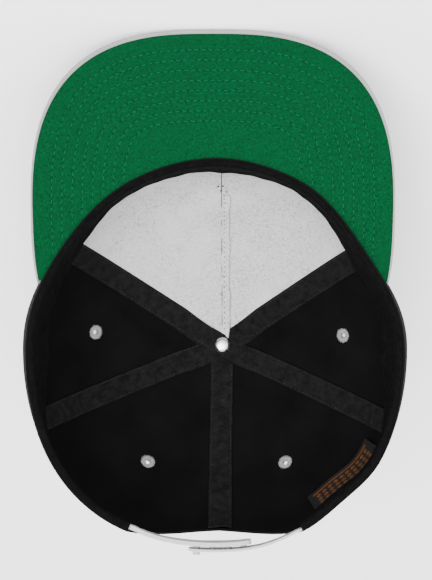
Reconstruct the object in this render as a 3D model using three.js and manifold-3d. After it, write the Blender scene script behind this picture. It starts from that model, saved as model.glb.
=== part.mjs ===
// A six-panel snapback cap with a flat peak, turned over so that it lies on the front of its crown and
// on the edge of its peak, with the inside showing. Millimetres, +Z up from the surface it lies on.
//
// The cap is drawn in a frame of its own, a group that is tipped over at the end: z = 0 is the plane of
// the head opening and the crown hangs below it, +Y points to the peak and +X to the wearer's left.
// An azimuth is an angle round the crown, 0 at the middle of the forehead and a quarter turn at the
// wearer's left. "Along" is the share of the way up the crown, 0 at the rim and 1 at the button.

import * as THREE from "three";
import { mergeVertices } from "three/addons/utils/BufferGeometryUtils.js";
import Module from "manifold-3d";

const wasm = await Module();
wasm.setup();

// Rim: the oval head opening, on the outside of the cloth.
const RIM_HALF_WIDTH = 97;
const RIM_HALF_LENGTH = 99.5;
const RIM_SQUARENESS_FRONT = 1.9;
const RIM_SQUARENESS_BACK = 2.38;
const RIM_RISE = 10;

// Where the rim is drawn in from its oval, at both temples and behind the left ear: the middle azimuth
// and how far that goes on to each side are in degrees.
const RIM_DRAWN_IN = [
  { azimuth: 57, by: 5.4, spread: 32 },
  { azimuth: -57, by: 2.8, spread: 32 },
  { azimuth: 140, by: 2.6, spread: 17 },
];

// Crown: its height from rim to button, and how it swells between its seams.
const CROWN_HEIGHT = 115;
const PANEL_PUFF = 1.5;
const BUTTON_SHIFT = 4;
const PANEL_TIP_RADIUS = 3;
const SHOULDER_ALONG = 0.4;

// Profile of the crown: rise is a share of its height, the others are shares of the rim's radius.
const CROWN_PROFILE = [
  { rise: 0, front: 1, side: 1, back: 1 },
  { rise: 0.1, front: 1, side: 1.018, back: 1.006 },
  { rise: 0.25, front: 0.997, side: 1.033, back: 1.006 },
  { rise: 0.4, front: 0.978, side: 1.022, back: 0.982 },
  { rise: 0.55, front: 0.93, side: 0.965, back: 0.92 },
  { rise: 0.7, front: 0.82, side: 0.85, back: 0.795 },
  { rise: 0.83, front: 0.64, side: 0.67, back: 0.615 },
  { rise: 0.93, front: 0.415, side: 0.44, back: 0.4 },
  { rise: 0.985, front: 0.2, side: 0.21, back: 0.193 },
  { rise: 1, front: 0, side: 0, back: 0 },
];

// Azimuths of the six seams, in degrees.
const SEAMS = {
  front: 2,
  frontLeft: 57.2,
  rearLeft: 113.3,
  back: 178.6,
  rearRight: 247.6,
  frontRight: 304.2,
};

// Cloth: wall thicknesses, and the clearance left between pieces that touch.
const GAP = 0.3;
const LAYER_GAP = 0.45;
const PANEL_WALL = 1.2;
const BUCKRAM_WALL = 1;
const TAPE_WALL = 1;
const FOLD_WALL = 0.8;
const LABEL_WALL = 1;
const SWEATBAND_WALL = 1.2;

// Seam tapes and the fold of the front seam.
const TAPE_WIDTH = 12.8;
const FOLD_WIDTH = 4.5;

// Sweatband: its height, how far its free edge leans away from the crown, and the azimuth in degrees,
// behind the ears, where it lies against the crown again.
const SWEATBAND_HEIGHT = 32;
const SWEATBAND_RECESS = 0.6;
const SWEATBAND_LEAN = { front: 0.5, side: 9, back: 0.2 };
const SWEATBAND_LEAN_END = 120;
const SWEATBAND_CURL = 1.5;

// Adjustment opening at the back, and the two straps that close it.
const OPENING_HALF_WIDTH = 45;
const OPENING_HEIGHT = 47;
const STRAP_WIDTH = 16;
const STRAP_WALL = 1.2;
const STRAP_EDGE = 1;
const STRAP_CORNER = 2.5;
const STRAP_BOW = 3;
const STRAP_TUCK = 13;
const STRAP_OVERLAP = 32;
const STRAP_OVERLAP_MIDDLE = 2.5;
const PEG_PITCH = 8;
const PEG_COUNT = 4;
const HOLE_COUNT = 7;
const PEG_NECK_RADIUS = 1.5;
const PEG_HEAD_RADIUS = 2.3;
const PEG_HEAD_HEIGHT = 0.7;
const PEG_HEAD_TAPER = 0.7;
const HOLE_CLEARANCE = 0.4;

// Peak: a rounded outline, arched like the rim over the forehead and dipping a little to the front.
const PEAK_HALF_WIDTH = 93.2;
const PEAK_HALF_LENGTH = 92.5;
const PEAK_OFFSET = -1.2;
const PEAK_MIDDLE = 73;
const PEAK_SQUARENESS = 2.73;
const PEAK_TIP_AZIMUTH = 69;
const PEAK_DIP = 5;
const PEAK_RECESS = 1;
const PEAK_COVER = 1.9;
const PEAK_UNDERLAY = 1.2;
const PEAK_UNDERLAY_REACH = 0.985;
const PEAK_LIP = { middle: 2.4, tip: 1.2 };
const PEAK_LIP_NARROWING = 8;
const PEAK_LIP_LARGEST_SHARE = 0.6;
const PEAK_EDGE_ROUNDING = 0.6;

// Button on top and the rivet that holds it from the inside. Their outlines are shares of the radius
// and of the height.
const BUTTON_RADIUS = 7.5;
const BUTTON_HEIGHT = 5;
const BUTTON_OUTLINE = [
  { out: 0, up: 0 },
  { out: 0.95, up: 0 },
  { out: 1, up: 0.16 },
  { out: 0.93, up: 0.56 },
  { out: 0.67, up: 0.86 },
  { out: 0.35, up: 0.98 },
  { out: 0, up: 1 },
];
const RIVET_RADIUS = 4.6;
const RIVET_HEIGHT = 2.3;
const RIVET_OUTLINE = [
  { out: 0.93, up: 0 },
  { out: 1, up: 0.2 },
  { out: 0.88, up: 0.6 },
  { out: 0.55, up: 0.9 },
  { out: 0, up: 1 },
];
const SHANK_RADIUS = 1.4;

// Eyelets: azimuth in degrees, and distance out from the button as a share of the rim's radius.
const EYELETS = [
  { name: "eyelet_side_left", panel: "side_left_panel", azimuth: 85, out: 0.735 },
  { name: "eyelet_back_left", panel: "back_left_panel", azimuth: 149.5, out: 0.74 },
  { name: "eyelet_back_right", panel: "back_right_panel", azimuth: 211, out: 0.733 },
  { name: "eyelet_side_right", panel: "side_right_panel", azimuth: 276.6, out: 0.713 },
];
const EYELET_BORE_RADIUS = 1.4;
const EYELET_NECK_RADIUS = 2.2;
const EYELET_RADIUS = 3.9;
const EYELET_RIM = 0.6;
const EYELET_GAP = 0.45;
const EYELET_INSET = 0.1;

// Woven label inside the back left panel, its lower edge tucked behind the sweatband and its upper
// edge leaning a little off the panel.
const LABEL_AZIMUTH = 134.5;
const LABEL_WIDTH = 48;
const LABEL_HEIGHT = 32;
const LABEL_TUCK = 6;
const LABEL_LEAN = 2.5;

// How far the crown gives where the cap lies on it, and how softly the flat turns into the round.
const REST_DENT = 1.5;
const REST_EASE = 0.4;
const REST_TILTS = { low: 10, high: 80 };
const REST_SAMPLES = { around: 24, up: 60, last: 0.99 };

// Fineness of the meshes.
const PANEL_COLUMNS = 9;
const BACK_COLUMNS = { closed: 7, open: 5 };
const BUCKRAM_COLUMNS = 9;
const PANEL_ROWS = 20;
const TAPE_COLUMNS = 2;
const TAPE_ROWS = { from: 1, to: 20 };
const BUCKRAM_ROWS = { from: 1, to: 19 };
const LABEL_COLUMNS = 6;
const LABEL_ROWS = 3;
const PEAK_COLUMNS = 24;
const PEAK_ROWS = 5;
const SWEATBAND_COLUMNS = 40;
const SWEATBAND_ROWS = 3;
const STRAP_COLUMNS = 14;
const STRAP_ROWS = 2;
const ROUND_SIDES = 8;
const DOME_SIDES = 16;
const DRILL_LENGTH = 10;
const MERGE_WITHIN = 1e-4;
const SOLVE_STEPS = 40;

const { clamp, degToRad, lerp, smoothstep } = THREE.MathUtils;
const TURN = 2 * Math.PI;
const UP = new THREE.Vector3(0, 0, 1);
const LATHE_AXIS = new THREE.Vector3(0, 1, 0);

const BLACK_TWILL = new THREE.MeshStandardMaterial({ color: 0x17171a, roughness: 0.95 });
const BLACK_TAPE = new THREE.MeshStandardMaterial({ color: 0x26262a, roughness: 0.85 });
const BUCKRAM = new THREE.MeshStandardMaterial({ color: 0xd3d3d3, roughness: 0.95 });
const GREY_TWILL = new THREE.MeshStandardMaterial({ color: 0xb9b7b8, roughness: 0.9 });
const GREEN_TWILL = new THREE.MeshStandardMaterial({ color: 0x0a7a45, roughness: 0.9 });
const GREY_THREAD = new THREE.MeshStandardMaterial({ color: 0xb4b4b4, roughness: 0.8 });
const GREY_PLASTIC = new THREE.MeshStandardMaterial({ color: 0xc4c4c4, roughness: 0.45 });
const BRIGHT_STEEL = new THREE.MeshStandardMaterial({ color: 0xdfe2e4, roughness: 0.2, metalness: 1 });

// Small tools

/** Even steps from 0 to 1. */
function steps(count) {
  return Array.from({ length: count + 1 }, (_, i) => i / count);
}

/** The place between low and high where a steady function reaches target. */
function solve(value, target, low, high) {
  const rising = value(high) > value(low);
  for (let i = 0; i < SOLVE_STEPS; i++) {
    const middle = (low + high) / 2;
    if (value(middle) < target === rising) low = middle;
    else high = middle;
  }
  return (low + high) / 2;
}

/** Radius, at an azimuth, of an oval whose corners are as square as its exponent says. */
function ovalRadius(azimuth, halfWidth, halfLength, squareness) {
  const across = Math.abs(Math.sin(azimuth)) / halfWidth;
  const ahead = Math.abs(Math.cos(azimuth)) / halfLength;
  return (across ** squareness + ahead ** squareness) ** (-1 / squareness);
}

/** A mix of a front, side and back value for an azimuth. */
function byAzimuth(azimuth, { front, side, back }) {
  const ahead = Math.cos(azimuth);
  return lerp(side, ahead > 0 ? front : back, ahead ** 2);
}

/** Turns a closed geometry's faces outwards. */
function facingOut(geometry) {
  const at = geometry.attributes.position;
  const index = geometry.index.array;
  const [a, b, c] = [0, 1, 2].map(() => new THREE.Vector3());
  let volume = 0;
  for (let i = 0; i < index.length; i += 3) {
    a.fromBufferAttribute(at, index[i]);
    b.fromBufferAttribute(at, index[i + 1]);
    c.fromBufferAttribute(at, index[i + 2]);
    volume += a.dot(b.cross(c));
  }
  if (volume < 0) index.reverse();
  return geometry;
}

/** A closed body through rings of points, each of which runs out along one face and back on the other. */
function loft(rings) {
  const size = rings[0].length;
  const last = (rings.length - 1) * size;
  const index = [];
  for (let i = 0; i < last; i += size) {
    for (let j = 0; j < size; j++) {
      const here = i + j;
      const next = i + ((j + 1) % size);
      index.push(here, next, here + size, next, next + size, here + size);
    }
  }
  // The first and the last ring are closed by a strip between their two faces.
  for (let j = 0; j < size / 2 - 1; j++) {
    const [a, b, c, d] = [j, j + 1, size - 2 - j, size - 1 - j];
    index.push(b, a, d, b, d, c);
    index.push(last + a, last + b, last + d, last + b, last + c, last + d);
  }
  return facingOut(new THREE.BufferGeometry().setFromPoints(rings.flat()).setIndex(index));
}

/** A closed wall over a grid: pointAt(u, v, face) gives its outer face at 0 and its inner face at 1. */
function wall(columns, rows, pointAt) {
  const back = [...rows].reverse();
  const ring = (u) => [...rows.map((v) => pointAt(u, v, 0)), ...back.map((v) => pointAt(u, v, 1))];
  return loft(columns.map(ring));
}

/** A round body from an outline of radius and height, standing along the lathe's axis. */
function lathe(outline, sides = ROUND_SIDES) {
  const points = outline.map(([radius, height]) => new THREE.Vector2(radius, height));
  return bare(new THREE.LatheGeometry(points, sides));
}

/** The geometry with shared corners and nothing but positions. */
function bare(geometry) {
  geometry.deleteAttribute("normal");
  geometry.deleteAttribute("uv");
  return facingOut(mergeVertices(geometry, MERGE_WITHIN));
}

function solidFrom(geometry) {
  return new wasm.Manifold(
    new wasm.Mesh({
      numProp: 3,
      vertProperties: new Float32Array(geometry.attributes.position.array),
      triVerts: new Uint32Array(geometry.index.array),
    }),
  );
}

function geometryFrom(solid) {
  const { vertProperties, triVerts } = solid.getMesh();
  return new THREE.BufferGeometry()
    .setAttribute("position", new THREE.BufferAttribute(vertProperties, 3))
    .setIndex(new THREE.BufferAttribute(triVerts, 1));
}

/** A round tool along a direction, centred on a point, for a hole through a wall. */
function drill(point, direction, radius) {
  const tool = bare(new THREE.CylinderGeometry(radius, radius, DRILL_LENGTH, ROUND_SIDES));
  return stood(tool, point, direction);
}

/** A body that was turned along the lathe's axis, moved to a point and facing a direction. */
function stood(geometry, point, direction) {
  const upright = new THREE.Quaternion().setFromUnitVectors(LATHE_AXIS, direction);
  return geometry.applyQuaternion(upright).translate(point.x, point.y, point.z);
}

// The crown's surface

const seam = { ...SEAMS };
for (const name in seam) seam[name] = degToRad(SEAMS[name]);
const seamOrder = Object.values(seam);

/** The profile as a smooth curve over "along", carried past the button so that it is level there. */
const crownProfile = (() => {
  const beyond = CROWN_PROFILE.at(-2);
  const mirrored = { rise: beyond.rise, front: -beyond.front, side: -beyond.side, back: -beyond.back };
  const rows = [...CROWN_PROFILE, mirrored];
  const knots = [0];
  for (let i = 1; i < rows.length; i++) {
    const outwards = (rows[i].side - rows[i - 1].side) * RIM_HALF_WIDTH;
    const upwards = (rows[i].rise - rows[i - 1].rise) * CROWN_HEIGHT;
    knots.push(knots[i - 1] + Math.hypot(outwards, upwards));
  }
  const whole = knots.at(-2);
  const shares = knots.map((knot) => knot / whole);
  const values = rows.flatMap(({ rise, front, side, back }) => [rise, front, side, back]);
  return new THREE.CubicInterpolant(shares, values, values.length / rows.length);
})();

function profileAt(along) {
  const [rise, front, side, back] = crownProfile.evaluate(along);
  return { rise, front, side, back };
}

/** How far the rim is drawn in at an azimuth. */
function drawnIn(azimuth) {
  const draws = RIM_DRAWN_IN.map((row) => {
    const angle = azimuth - degToRad(row.azimuth);
    const away = Math.abs(Math.atan2(Math.sin(angle), Math.cos(angle))) / degToRad(row.spread);
    return row.by * Math.cos((Math.min(1, away) * Math.PI) / 2) ** 2;
  });
  return draws.reduce((sum, draw) => sum + draw);
}

function rimRadius(azimuth) {
  const squareness = lerp(RIM_SQUARENESS_BACK, RIM_SQUARENESS_FRONT, (1 + Math.cos(azimuth)) / 2);
  return ovalRadius(azimuth, RIM_HALF_WIDTH, RIM_HALF_LENGTH, squareness) - drawnIn(azimuth);
}

/** How far the rim's edge lies above the plane of the opening, towards the button. */
function rimRise(azimuth) {
  return RIM_RISE * Math.max(0, Math.cos(azimuth)) ** 2;
}

/** Swell of a panel between its two seams, 0 at the seams, the rim and the button. */
function puff(azimuth, along) {
  const round = THREE.MathUtils.euclideanModulo(azimuth, TURN);
  const next = seamOrder.findIndex((a) => a > round);
  const end = next < 0 ? seamOrder[0] + TURN : seamOrder[next];
  const start = next > 0 ? seamOrder[next - 1] : seamOrder.at(-1) - (next < 0 ? 0 : TURN);
  const across = (round - start) / (end - start);
  return PANEL_PUFF * 4 * across * (1 - across) * Math.sin(Math.PI * along);
}

function crownRadius(azimuth, along) {
  return rimRadius(azimuth) * byAzimuth(azimuth, profileAt(along)) + puff(azimuth, along);
}

/** A point on the outside of the crown, before it lies on anything. */
function crownPoint(azimuth, along) {
  const radius = crownRadius(azimuth, along);
  const rise = rimRise(azimuth);
  const shift = BUTTON_SHIFT * (1 - byAzimuth(azimuth, profileAt(along)));
  const depth = lerp(rise, CROWN_HEIGHT, profileAt(along).rise);
  return new THREE.Vector3(shift + radius * Math.sin(azimuth), radius * Math.cos(azimuth), -depth);
}

function crownNormal(azimuth, along) {
  const step = 1e-3;
  const round = crownPoint(azimuth + step, along).sub(crownPoint(azimuth - step, along));
  const upwards = crownPoint(azimuth, along + step).sub(crownPoint(azimuth, along - step));
  const normal = round.cross(upwards).normalize();
  const outwards = new THREE.Vector3(Math.sin(azimuth), Math.cos(azimuth), -along);
  return normal.dot(outwards) < 0 ? normal.negate() : normal;
}

/** Where up the crown a depth below the rim's edge is reached. */
function alongAtDepth(azimuth, depth) {
  const height = CROWN_HEIGHT - rimRise(azimuth);
  return solve((along) => height * profileAt(along).rise, depth, 0, 1);
}

/** Where up the crown its radius has shrunk to a given one. */
function alongAtRadius(azimuth, radius) {
  return solve((along) => crownRadius(azimuth, along), radius, SHOULDER_ALONG, 1);
}

/** Half the angle that a strip of some width takes up, seen from the button. */
function stripAngle(halfWidth, azimuth, along) {
  return Math.asin(Math.min(1, halfWidth / crownRadius(azimuth, along)));
}

// The peak's surface

function peakOutline(angle) {
  const [across, ahead] = [Math.sin(angle), Math.cos(angle)];
  const x = PEAK_HALF_WIDTH * Math.sign(across) * Math.abs(across) ** (2 / PEAK_SQUARENESS);
  const y = PEAK_HALF_LENGTH * Math.sign(ahead) * Math.abs(ahead) ** (2 / PEAK_SQUARENESS);
  return new THREE.Vector3(PEAK_OFFSET + x, PEAK_MIDDLE + y, 0);
}

const peakTip = degToRad(PEAK_TIP_AZIMUTH);

/** Angle at which the outline ends, level with the root's end on its side. */
function peakEnd(side) {
  const level = rimRadius(side * peakTip) * Math.cos(peakTip);
  return solve((angle) => peakOutline(angle).y, level, 0, Math.PI);
}

const peakEnds = { left: peakEnd(1), right: peakEnd(-1) };

/** A point of the peak: t runs from its right tip to its left, out from the crown to the edge. */
function peakPoint(t, out, level) {
  const azimuth = t * peakTip;
  const root = crownPoint(azimuth, alongAtDepth(azimuth, level));
  root.addScaledVector(new THREE.Vector3(Math.sin(azimuth), Math.cos(azimuth), 0), GAP).setZ(0);
  const edge = peakOutline(t * (t > 0 ? peakEnds.left : peakEnds.right));
  const point = root.clone().lerp(edge, out);
  const arch = RIM_RISE * Math.max(0, 1 - (point.x / RIM_HALF_WIDTH) ** 2);
  const dip = Math.tan(degToRad(PEAK_DIP)) * point.distanceTo(root);
  return point.setZ(dip - arch - level);
}

function peakWidth(t) {
  return peakPoint(t, 0, 0).distanceTo(peakPoint(t, 1, 0));
}

/** Share of the peak's width that the lip of its cover takes up, less where the tips are narrow. */
function lipShare(t) {
  const lip = lerp(PEAK_LIP.middle, PEAK_LIP.tip, Math.abs(t) ** PEAK_LIP_NARROWING);
  return Math.min(lip / peakWidth(t), PEAK_LIP_LARGEST_SHARE);
}

const PEAK_TOP_LEVEL = PEAK_RECESS + PEAK_UNDERLAY + GAP + PEAK_COVER;

// How the cap lies: tipped towards its peak until the edge of the peak meets the surface too

/** How far the crown and the peak reach in the direction that a tilt makes the way down. */
function reach(tilt, points) {
  const down = new THREE.Vector3(0, Math.sin(tilt), -Math.cos(tilt));
  return Math.max(...points.map((point) => point.dot(down)));
}

const crownSamples = steps(REST_SAMPLES.around).flatMap((u) =>
  steps(REST_SAMPLES.up).map((v) => crownPoint(lerp(-1, 1, u), REST_SAMPLES.last * v)),
);
const peakEdgeSamples = steps(PEAK_COLUMNS).flatMap((u) => {
  const t = lerp(-1, 1, u);
  const rounding = PEAK_EDGE_ROUNDING / peakWidth(t);
  return [
    peakPoint(t, 1 - rounding, PEAK_TOP_LEVEL),
    peakPoint(t, 1, PEAK_TOP_LEVEL - PEAK_EDGE_ROUNDING),
  ];
});
const restTilt = solve(
  (tilt) => reach(tilt, crownSamples) - reach(tilt, peakEdgeSamples),
  REST_DENT,
  degToRad(REST_TILTS.low),
  degToRad(REST_TILTS.high),
);
const floorNormal = new THREE.Vector3(0, -Math.sin(restTilt), Math.cos(restTilt));
const floorLevel = -reach(restTilt, peakEdgeSamples);

/** Cloth that would reach through the surface lies flat on it, its layers one on another. */
function settle(point, layer) {
  const sunk = layer - (point.dot(floorNormal) - floorLevel);
  if (sunk < -REST_EASE) return point;
  const lift = sunk > REST_EASE ? sunk : (sunk + REST_EASE) ** 2 / (4 * REST_EASE);
  return point.addScaledVector(floorNormal, lift);
}

/** A point at a distance in from the outside of the crown, as it lies. */
function clothPoint(azimuth, along, layer) {
  const point = crownPoint(azimuth, along);
  return settle(point.addScaledVector(crownNormal(azimuth, along), -layer), layer);
}

/** Cloth that follows the crown: place(u, v) gives azimuth and along, and layer is how deep it starts. */
function crownCloth({ columns, rows, place, layer, thickness }) {
  return wall(columns, rows, (u, v, face) => {
    const { azimuth, along } = place(u, v);
    const start = typeof layer === "function" ? layer(azimuth, v) : layer;
    return clothPoint(azimuth, along, start + face * thickness);
  });
}

// Panels

const TAPE_LAYER = PANEL_WALL + LAYER_GAP;
const FOLD_LAYER = TAPE_LAYER + BUCKRAM_WALL + LAYER_GAP;
const STRAP_LAYER = PANEL_WALL + LAYER_GAP;
const SWEATBAND_LAYER = STRAP_LAYER + STRAP_WALL + LAYER_GAP;
const RIVET_LAYER = TAPE_LAYER + TAPE_WALL + LAYER_GAP;

/** Azimuth, in the back half, where the rim is a given way to the wearer's left. */
function azimuthAtWidth(x) {
  return solve((azimuth) => rimRadius(azimuth) * Math.sin(azimuth), x, TURN / 4, (3 * TURN) / 4);
}

/** Height of the opening's edge at an azimuth, 0 where the rim is whole. */
function openingEdge(azimuth) {
  const share = (rimRadius(azimuth) * Math.sin(azimuth)) / OPENING_HALF_WIDTH;
  const behind = Math.cos(azimuth) < 0;
  return behind && Math.abs(share) < 1 ? OPENING_HEIGHT * Math.sqrt(1 - share ** 2) : 0;
}

const openingLeft = azimuthAtWidth(OPENING_HALF_WIDTH);
const openingRight = azimuthAtWidth(-OPENING_HALF_WIDTH);

/** Azimuths across a back panel: even steps to the opening, then steps that crowd at its foot. */
function backColumns(from, to) {
  const seamWidth = rimRadius(seam.back) * Math.sin(seam.back);
  const seamAngle = Math.acos(seamWidth / OPENING_HALF_WIDTH);
  const isLeft = to === seam.back;
  const arch = steps(BACK_COLUMNS.open).map((u) => {
    const angle = isLeft ? lerp(0, seamAngle, u) : lerp(seamAngle, Math.PI, u);
    return azimuthAtWidth(OPENING_HALF_WIDTH * Math.cos(angle));
  });
  const closed = steps(BACK_COLUMNS.closed).map((u) =>
    isLeft ? lerp(from, openingLeft, u) : lerp(openingRight, to, u),
  );
  return isLeft ? [...closed.slice(0, -1), ...arch] : [...arch, ...closed.slice(1)];
}

/** The panels' rows, which the layers inside them share, run from their lower edge to their tips. */
const panelTip = alongAtRadius(TURN / 4, PANEL_TIP_RADIUS);

function alongRow(azimuth, row) {
  return lerp(alongAtDepth(azimuth, openingEdge(azimuth)), panelTip, row / PANEL_ROWS);
}

function panel(from, to, azimuths) {
  return crownCloth({
    columns: azimuths,
    rows: steps(PANEL_ROWS),
    place: (azimuth, v) => {
      const along = alongRow(azimuth, v * PANEL_ROWS);
      const inset = GAP / 2 / crownRadius(azimuth, along);
      return { azimuth: lerp(from + inset, to - inset, (azimuth - from) / (to - from)), along };
    },
    layer: 0,
    thickness: PANEL_WALL,
  });
}

function evenColumns(from, to) {
  return steps(PANEL_COLUMNS).map((u) => lerp(from, to, u));
}

const PANELS = [
  { name: "front_left_panel", from: seam.front, to: seam.frontLeft },
  { name: "side_left_panel", from: seam.frontLeft, to: seam.rearLeft },
  { name: "back_left_panel", from: seam.rearLeft, to: seam.back, open: true },
  { name: "back_right_panel", from: seam.back, to: seam.rearRight, open: true },
  { name: "side_right_panel", from: seam.rearRight, to: seam.frontRight },
  { name: "front_right_panel", from: seam.frontRight, to: seam.front + TURN },
];

// Buckram, seam tapes, the fold of the front seam and the label

/** Every row of the panels' grid in a range. */
function rowsOf({ from, to }) {
  return Array.from({ length: to - from + 1 }, (_, i) => from + i);
}

/** Stiff backing of a front panel, from the front seam to the edge of the seam tape. */
function buckram(side) {
  const end = side > 0 ? seam.frontLeft : seam.frontRight - TURN;
  const middle = (seam.front + end) / 2;
  return crownCloth({
    columns: rowsOf(BUCKRAM_ROWS),
    rows: steps(BUCKRAM_COLUMNS),
    place: (row, v) => {
      const along = alongRow(middle, row);
      const clear = GAP / crownRadius(middle, along);
      const near = seam.front + (side * clear) / 2;
      const far = end - side * (stripAngle(TAPE_WIDTH / 2, end, along) + clear);
      return { azimuth: lerp(near, far, v), along };
    },
    layer: TAPE_LAYER,
    thickness: BUCKRAM_WALL,
  });
}

const TAPES = [
  { name: "front_left_tape", azimuth: seam.frontLeft },
  { name: "rear_left_tape", azimuth: seam.rearLeft },
  { name: "back_tape", azimuth: seam.back },
  { name: "rear_right_tape", azimuth: seam.rearRight },
  { name: "front_right_tape", azimuth: seam.frontRight },
];

/** A tape over a seam, mitred against its neighbours where they crowd together at the button. */
function tape(order) {
  const { azimuth } = TAPES[order];
  const before = order > 0 ? TAPES[order - 1].azimuth : TAPES.at(-1).azimuth - TURN;
  const after = order + 1 < TAPES.length ? TAPES[order + 1].azimuth : TAPES[0].azimuth + TURN;
  return crownCloth({
    columns: rowsOf(TAPE_ROWS),
    rows: steps(TAPE_COLUMNS),
    place: (row, v) => {
      const along = alongRow(azimuth, row);
      const strip = stripAngle(TAPE_WIDTH / 2, azimuth, along);
      const clear = GAP / 2 / crownRadius(azimuth, along);
      const low = Math.max(azimuth - strip, (azimuth + before) / 2 + clear);
      const high = Math.min(azimuth + strip, (azimuth + after) / 2 - clear);
      return { azimuth: lerp(low, high, v), along };
    },
    layer: TAPE_LAYER,
    thickness: TAPE_WALL,
  });
}

/** The two raw edges of the front seam, pressed over to the wearer's left. */
function seamFold() {
  const start = (alongAtDepth(seam.front, SWEATBAND_HEIGHT + GAP) / panelTip) * PANEL_ROWS;
  return crownCloth({
    columns: [start, ...rowsOf({ from: Math.ceil(start), to: BUCKRAM_ROWS.to })],
    rows: steps(1),
    place: (row, v) => {
      const along = alongRow(seam.front, row);
      return { azimuth: seam.front + v * stripAngle(FOLD_WIDTH, seam.front, along), along };
    },
    layer: FOLD_LAYER,
    thickness: FOLD_WALL,
  });
}

/** The label's lower edge lies under the sweatband, and its upper edge stands a little off the panel. */
function label() {
  const middle = degToRad(LABEL_AZIMUTH);
  const half = LABEL_WIDTH / 2 / rimRadius(middle);
  const low = SWEATBAND_HEIGHT - LABEL_TUCK;
  return crownCloth({
    columns: steps(LABEL_COLUMNS),
    rows: steps(LABEL_ROWS),
    place: (u, v) => {
      const azimuth = middle + lerp(-half, half, u);
      return { azimuth, along: alongAtDepth(azimuth, low + v * LABEL_HEIGHT) };
    },
    layer: (_, v) => TAPE_LAYER + LABEL_LEAN * v ** 2,
    thickness: LABEL_WALL,
  });
}

/** How far the free edge leans inwards, which it does most over the ears. */
function sweatbandLean(azimuth) {
  const { front, side, back } = SWEATBAND_LEAN;
  const ahead = Math.cos(azimuth);
  const end = ahead > 0 ? 1 : Math.cos(degToRad(SWEATBAND_LEAN_END));
  const share = Math.max(0, 1 - (ahead / end) ** 2) ** 2;
  return lerp(ahead > 0 ? front : back, side, share);
}

/** The band against the forehead, sewn in along the rim, its free edge leaning inwards. */
function sweatband() {
  return crownCloth({
    columns: steps(SWEATBAND_COLUMNS).map((u) => lerp(openingRight - TURN, openingLeft, u)),
    rows: steps(SWEATBAND_ROWS),
    place: (azimuth, v) => {
      const depth = lerp(SWEATBAND_RECESS, SWEATBAND_HEIGHT, v);
      return { azimuth, along: alongAtDepth(azimuth, depth) };
    },
    layer: (azimuth, v) => SWEATBAND_LAYER + sweatbandLean(azimuth) * v ** SWEATBAND_CURL,
    thickness: SWEATBAND_WALL,
  });
}

// Straps

const STRAP_SPREAD = (STRAP_WALL + LAYER_GAP) / 2;
// The straps are free of the cloth where the opening's edge is above them.
const strapReach = (STRAP_EDGE + STRAP_WIDTH) / OPENING_HEIGHT;
const STRAP_FREE = OPENING_HALF_WIDTH * Math.sqrt(1 - strapReach ** 2);

/** Azimuth of a place on the straps, measured along them from the middle of the back. */
function strapAzimuth(place) {
  return Math.PI - place / RIM_HALF_LENGTH;
}

/** How far a strap has moved from under the cloth to its place in the overlap, from 0 to 1. */
function strapSpread(place, side) {
  const overlap = side * STRAP_OVERLAP_MIDDLE + STRAP_OVERLAP / 2;
  return 1 - smoothstep(side * place, overlap, STRAP_FREE);
}

/** A point of a strap: side is 1 for the left strap and -1 for the right one, which lies inside it. */
function strapPoint(place, depth, layer, side) {
  const azimuth = strapAzimuth(place);
  const along = alongAtDepth(azimuth, depth);
  const bow = STRAP_BOW * Math.max(0, 1 - (place / STRAP_FREE) ** 2);
  const spread = side * STRAP_SPREAD * strapSpread(place, side);
  return crownPoint(azimuth, along).addScaledVector(
    crownNormal(azimuth, along),
    bow + spread - STRAP_LAYER - layer,
  );
}

/** A strap from its end under the cloth to its tip, which is cut with rounded corners. */
function strap(side) {
  const tuck = side * (OPENING_HALF_WIDTH + STRAP_TUCK);
  const tip = STRAP_OVERLAP_MIDDLE - (side * STRAP_OVERLAP) / 2;
  return wall(steps(STRAP_COLUMNS), steps(STRAP_ROWS), (u, v, face) => {
    const place = lerp(tuck, tip, u);
    const corner = STRAP_CORNER * smoothstep(u, 1 - 1 / STRAP_COLUMNS, 1);
    const depth = STRAP_EDGE + lerp(corner, STRAP_WIDTH - corner, v);
    return strapPoint(place, depth, face * STRAP_WALL, side);
  });
}

/** Places of the pegs, or of the holes, which go on past the overlap towards the left. */
function pegPlaces(count) {
  const first = STRAP_OVERLAP_MIDDLE - ((PEG_COUNT - 1) * PEG_PITCH) / 2;
  return Array.from({ length: count }, (_, i) => first + i * PEG_PITCH);
}

/** Where a peg stands on the outer face of the right strap, and which way it points. */
function pegSeat(place) {
  const depth = STRAP_EDGE + STRAP_WIDTH / 2;
  const point = strapPoint(place, depth, 0, -1);
  const azimuth = strapAzimuth(place);
  return { point, direction: crownNormal(azimuth, alongAtDepth(azimuth, depth)) };
}

/** The inner strap, whose mushroom pegs reach out through the other one. */
function strapWithPegs() {
  const root = -STRAP_WALL / 2;
  const neck = STRAP_WALL + LAYER_GAP + GAP / 2;
  const top = neck + PEG_HEAD_HEIGHT;
  const profile = [
    [0, root],
    [PEG_NECK_RADIUS, root],
    [PEG_NECK_RADIUS, neck],
    [PEG_HEAD_RADIUS, neck],
    [PEG_HEAD_TAPER * PEG_HEAD_RADIUS, top],
    [0, top],
  ];
  const pegs = pegPlaces(PEG_COUNT).map((place) => {
    const { point, direction } = pegSeat(place);
    return solidFrom(stood(lathe(profile), point, direction));
  });
  return geometryFrom(pegs.reduce((all, peg) => all.add(peg), solidFrom(strap(-1))));
}

function strapWithHoles() {
  const holes = pegPlaces(HOLE_COUNT).map((place) => {
    const { point, direction } = pegSeat(place);
    return solidFrom(drill(point, direction, PEG_NECK_RADIUS + HOLE_CLEARANCE));
  });
  return geometryFrom(holes.reduce((all, hole) => all.subtract(hole), solidFrom(strap(1))));
}

// Peak

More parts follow.
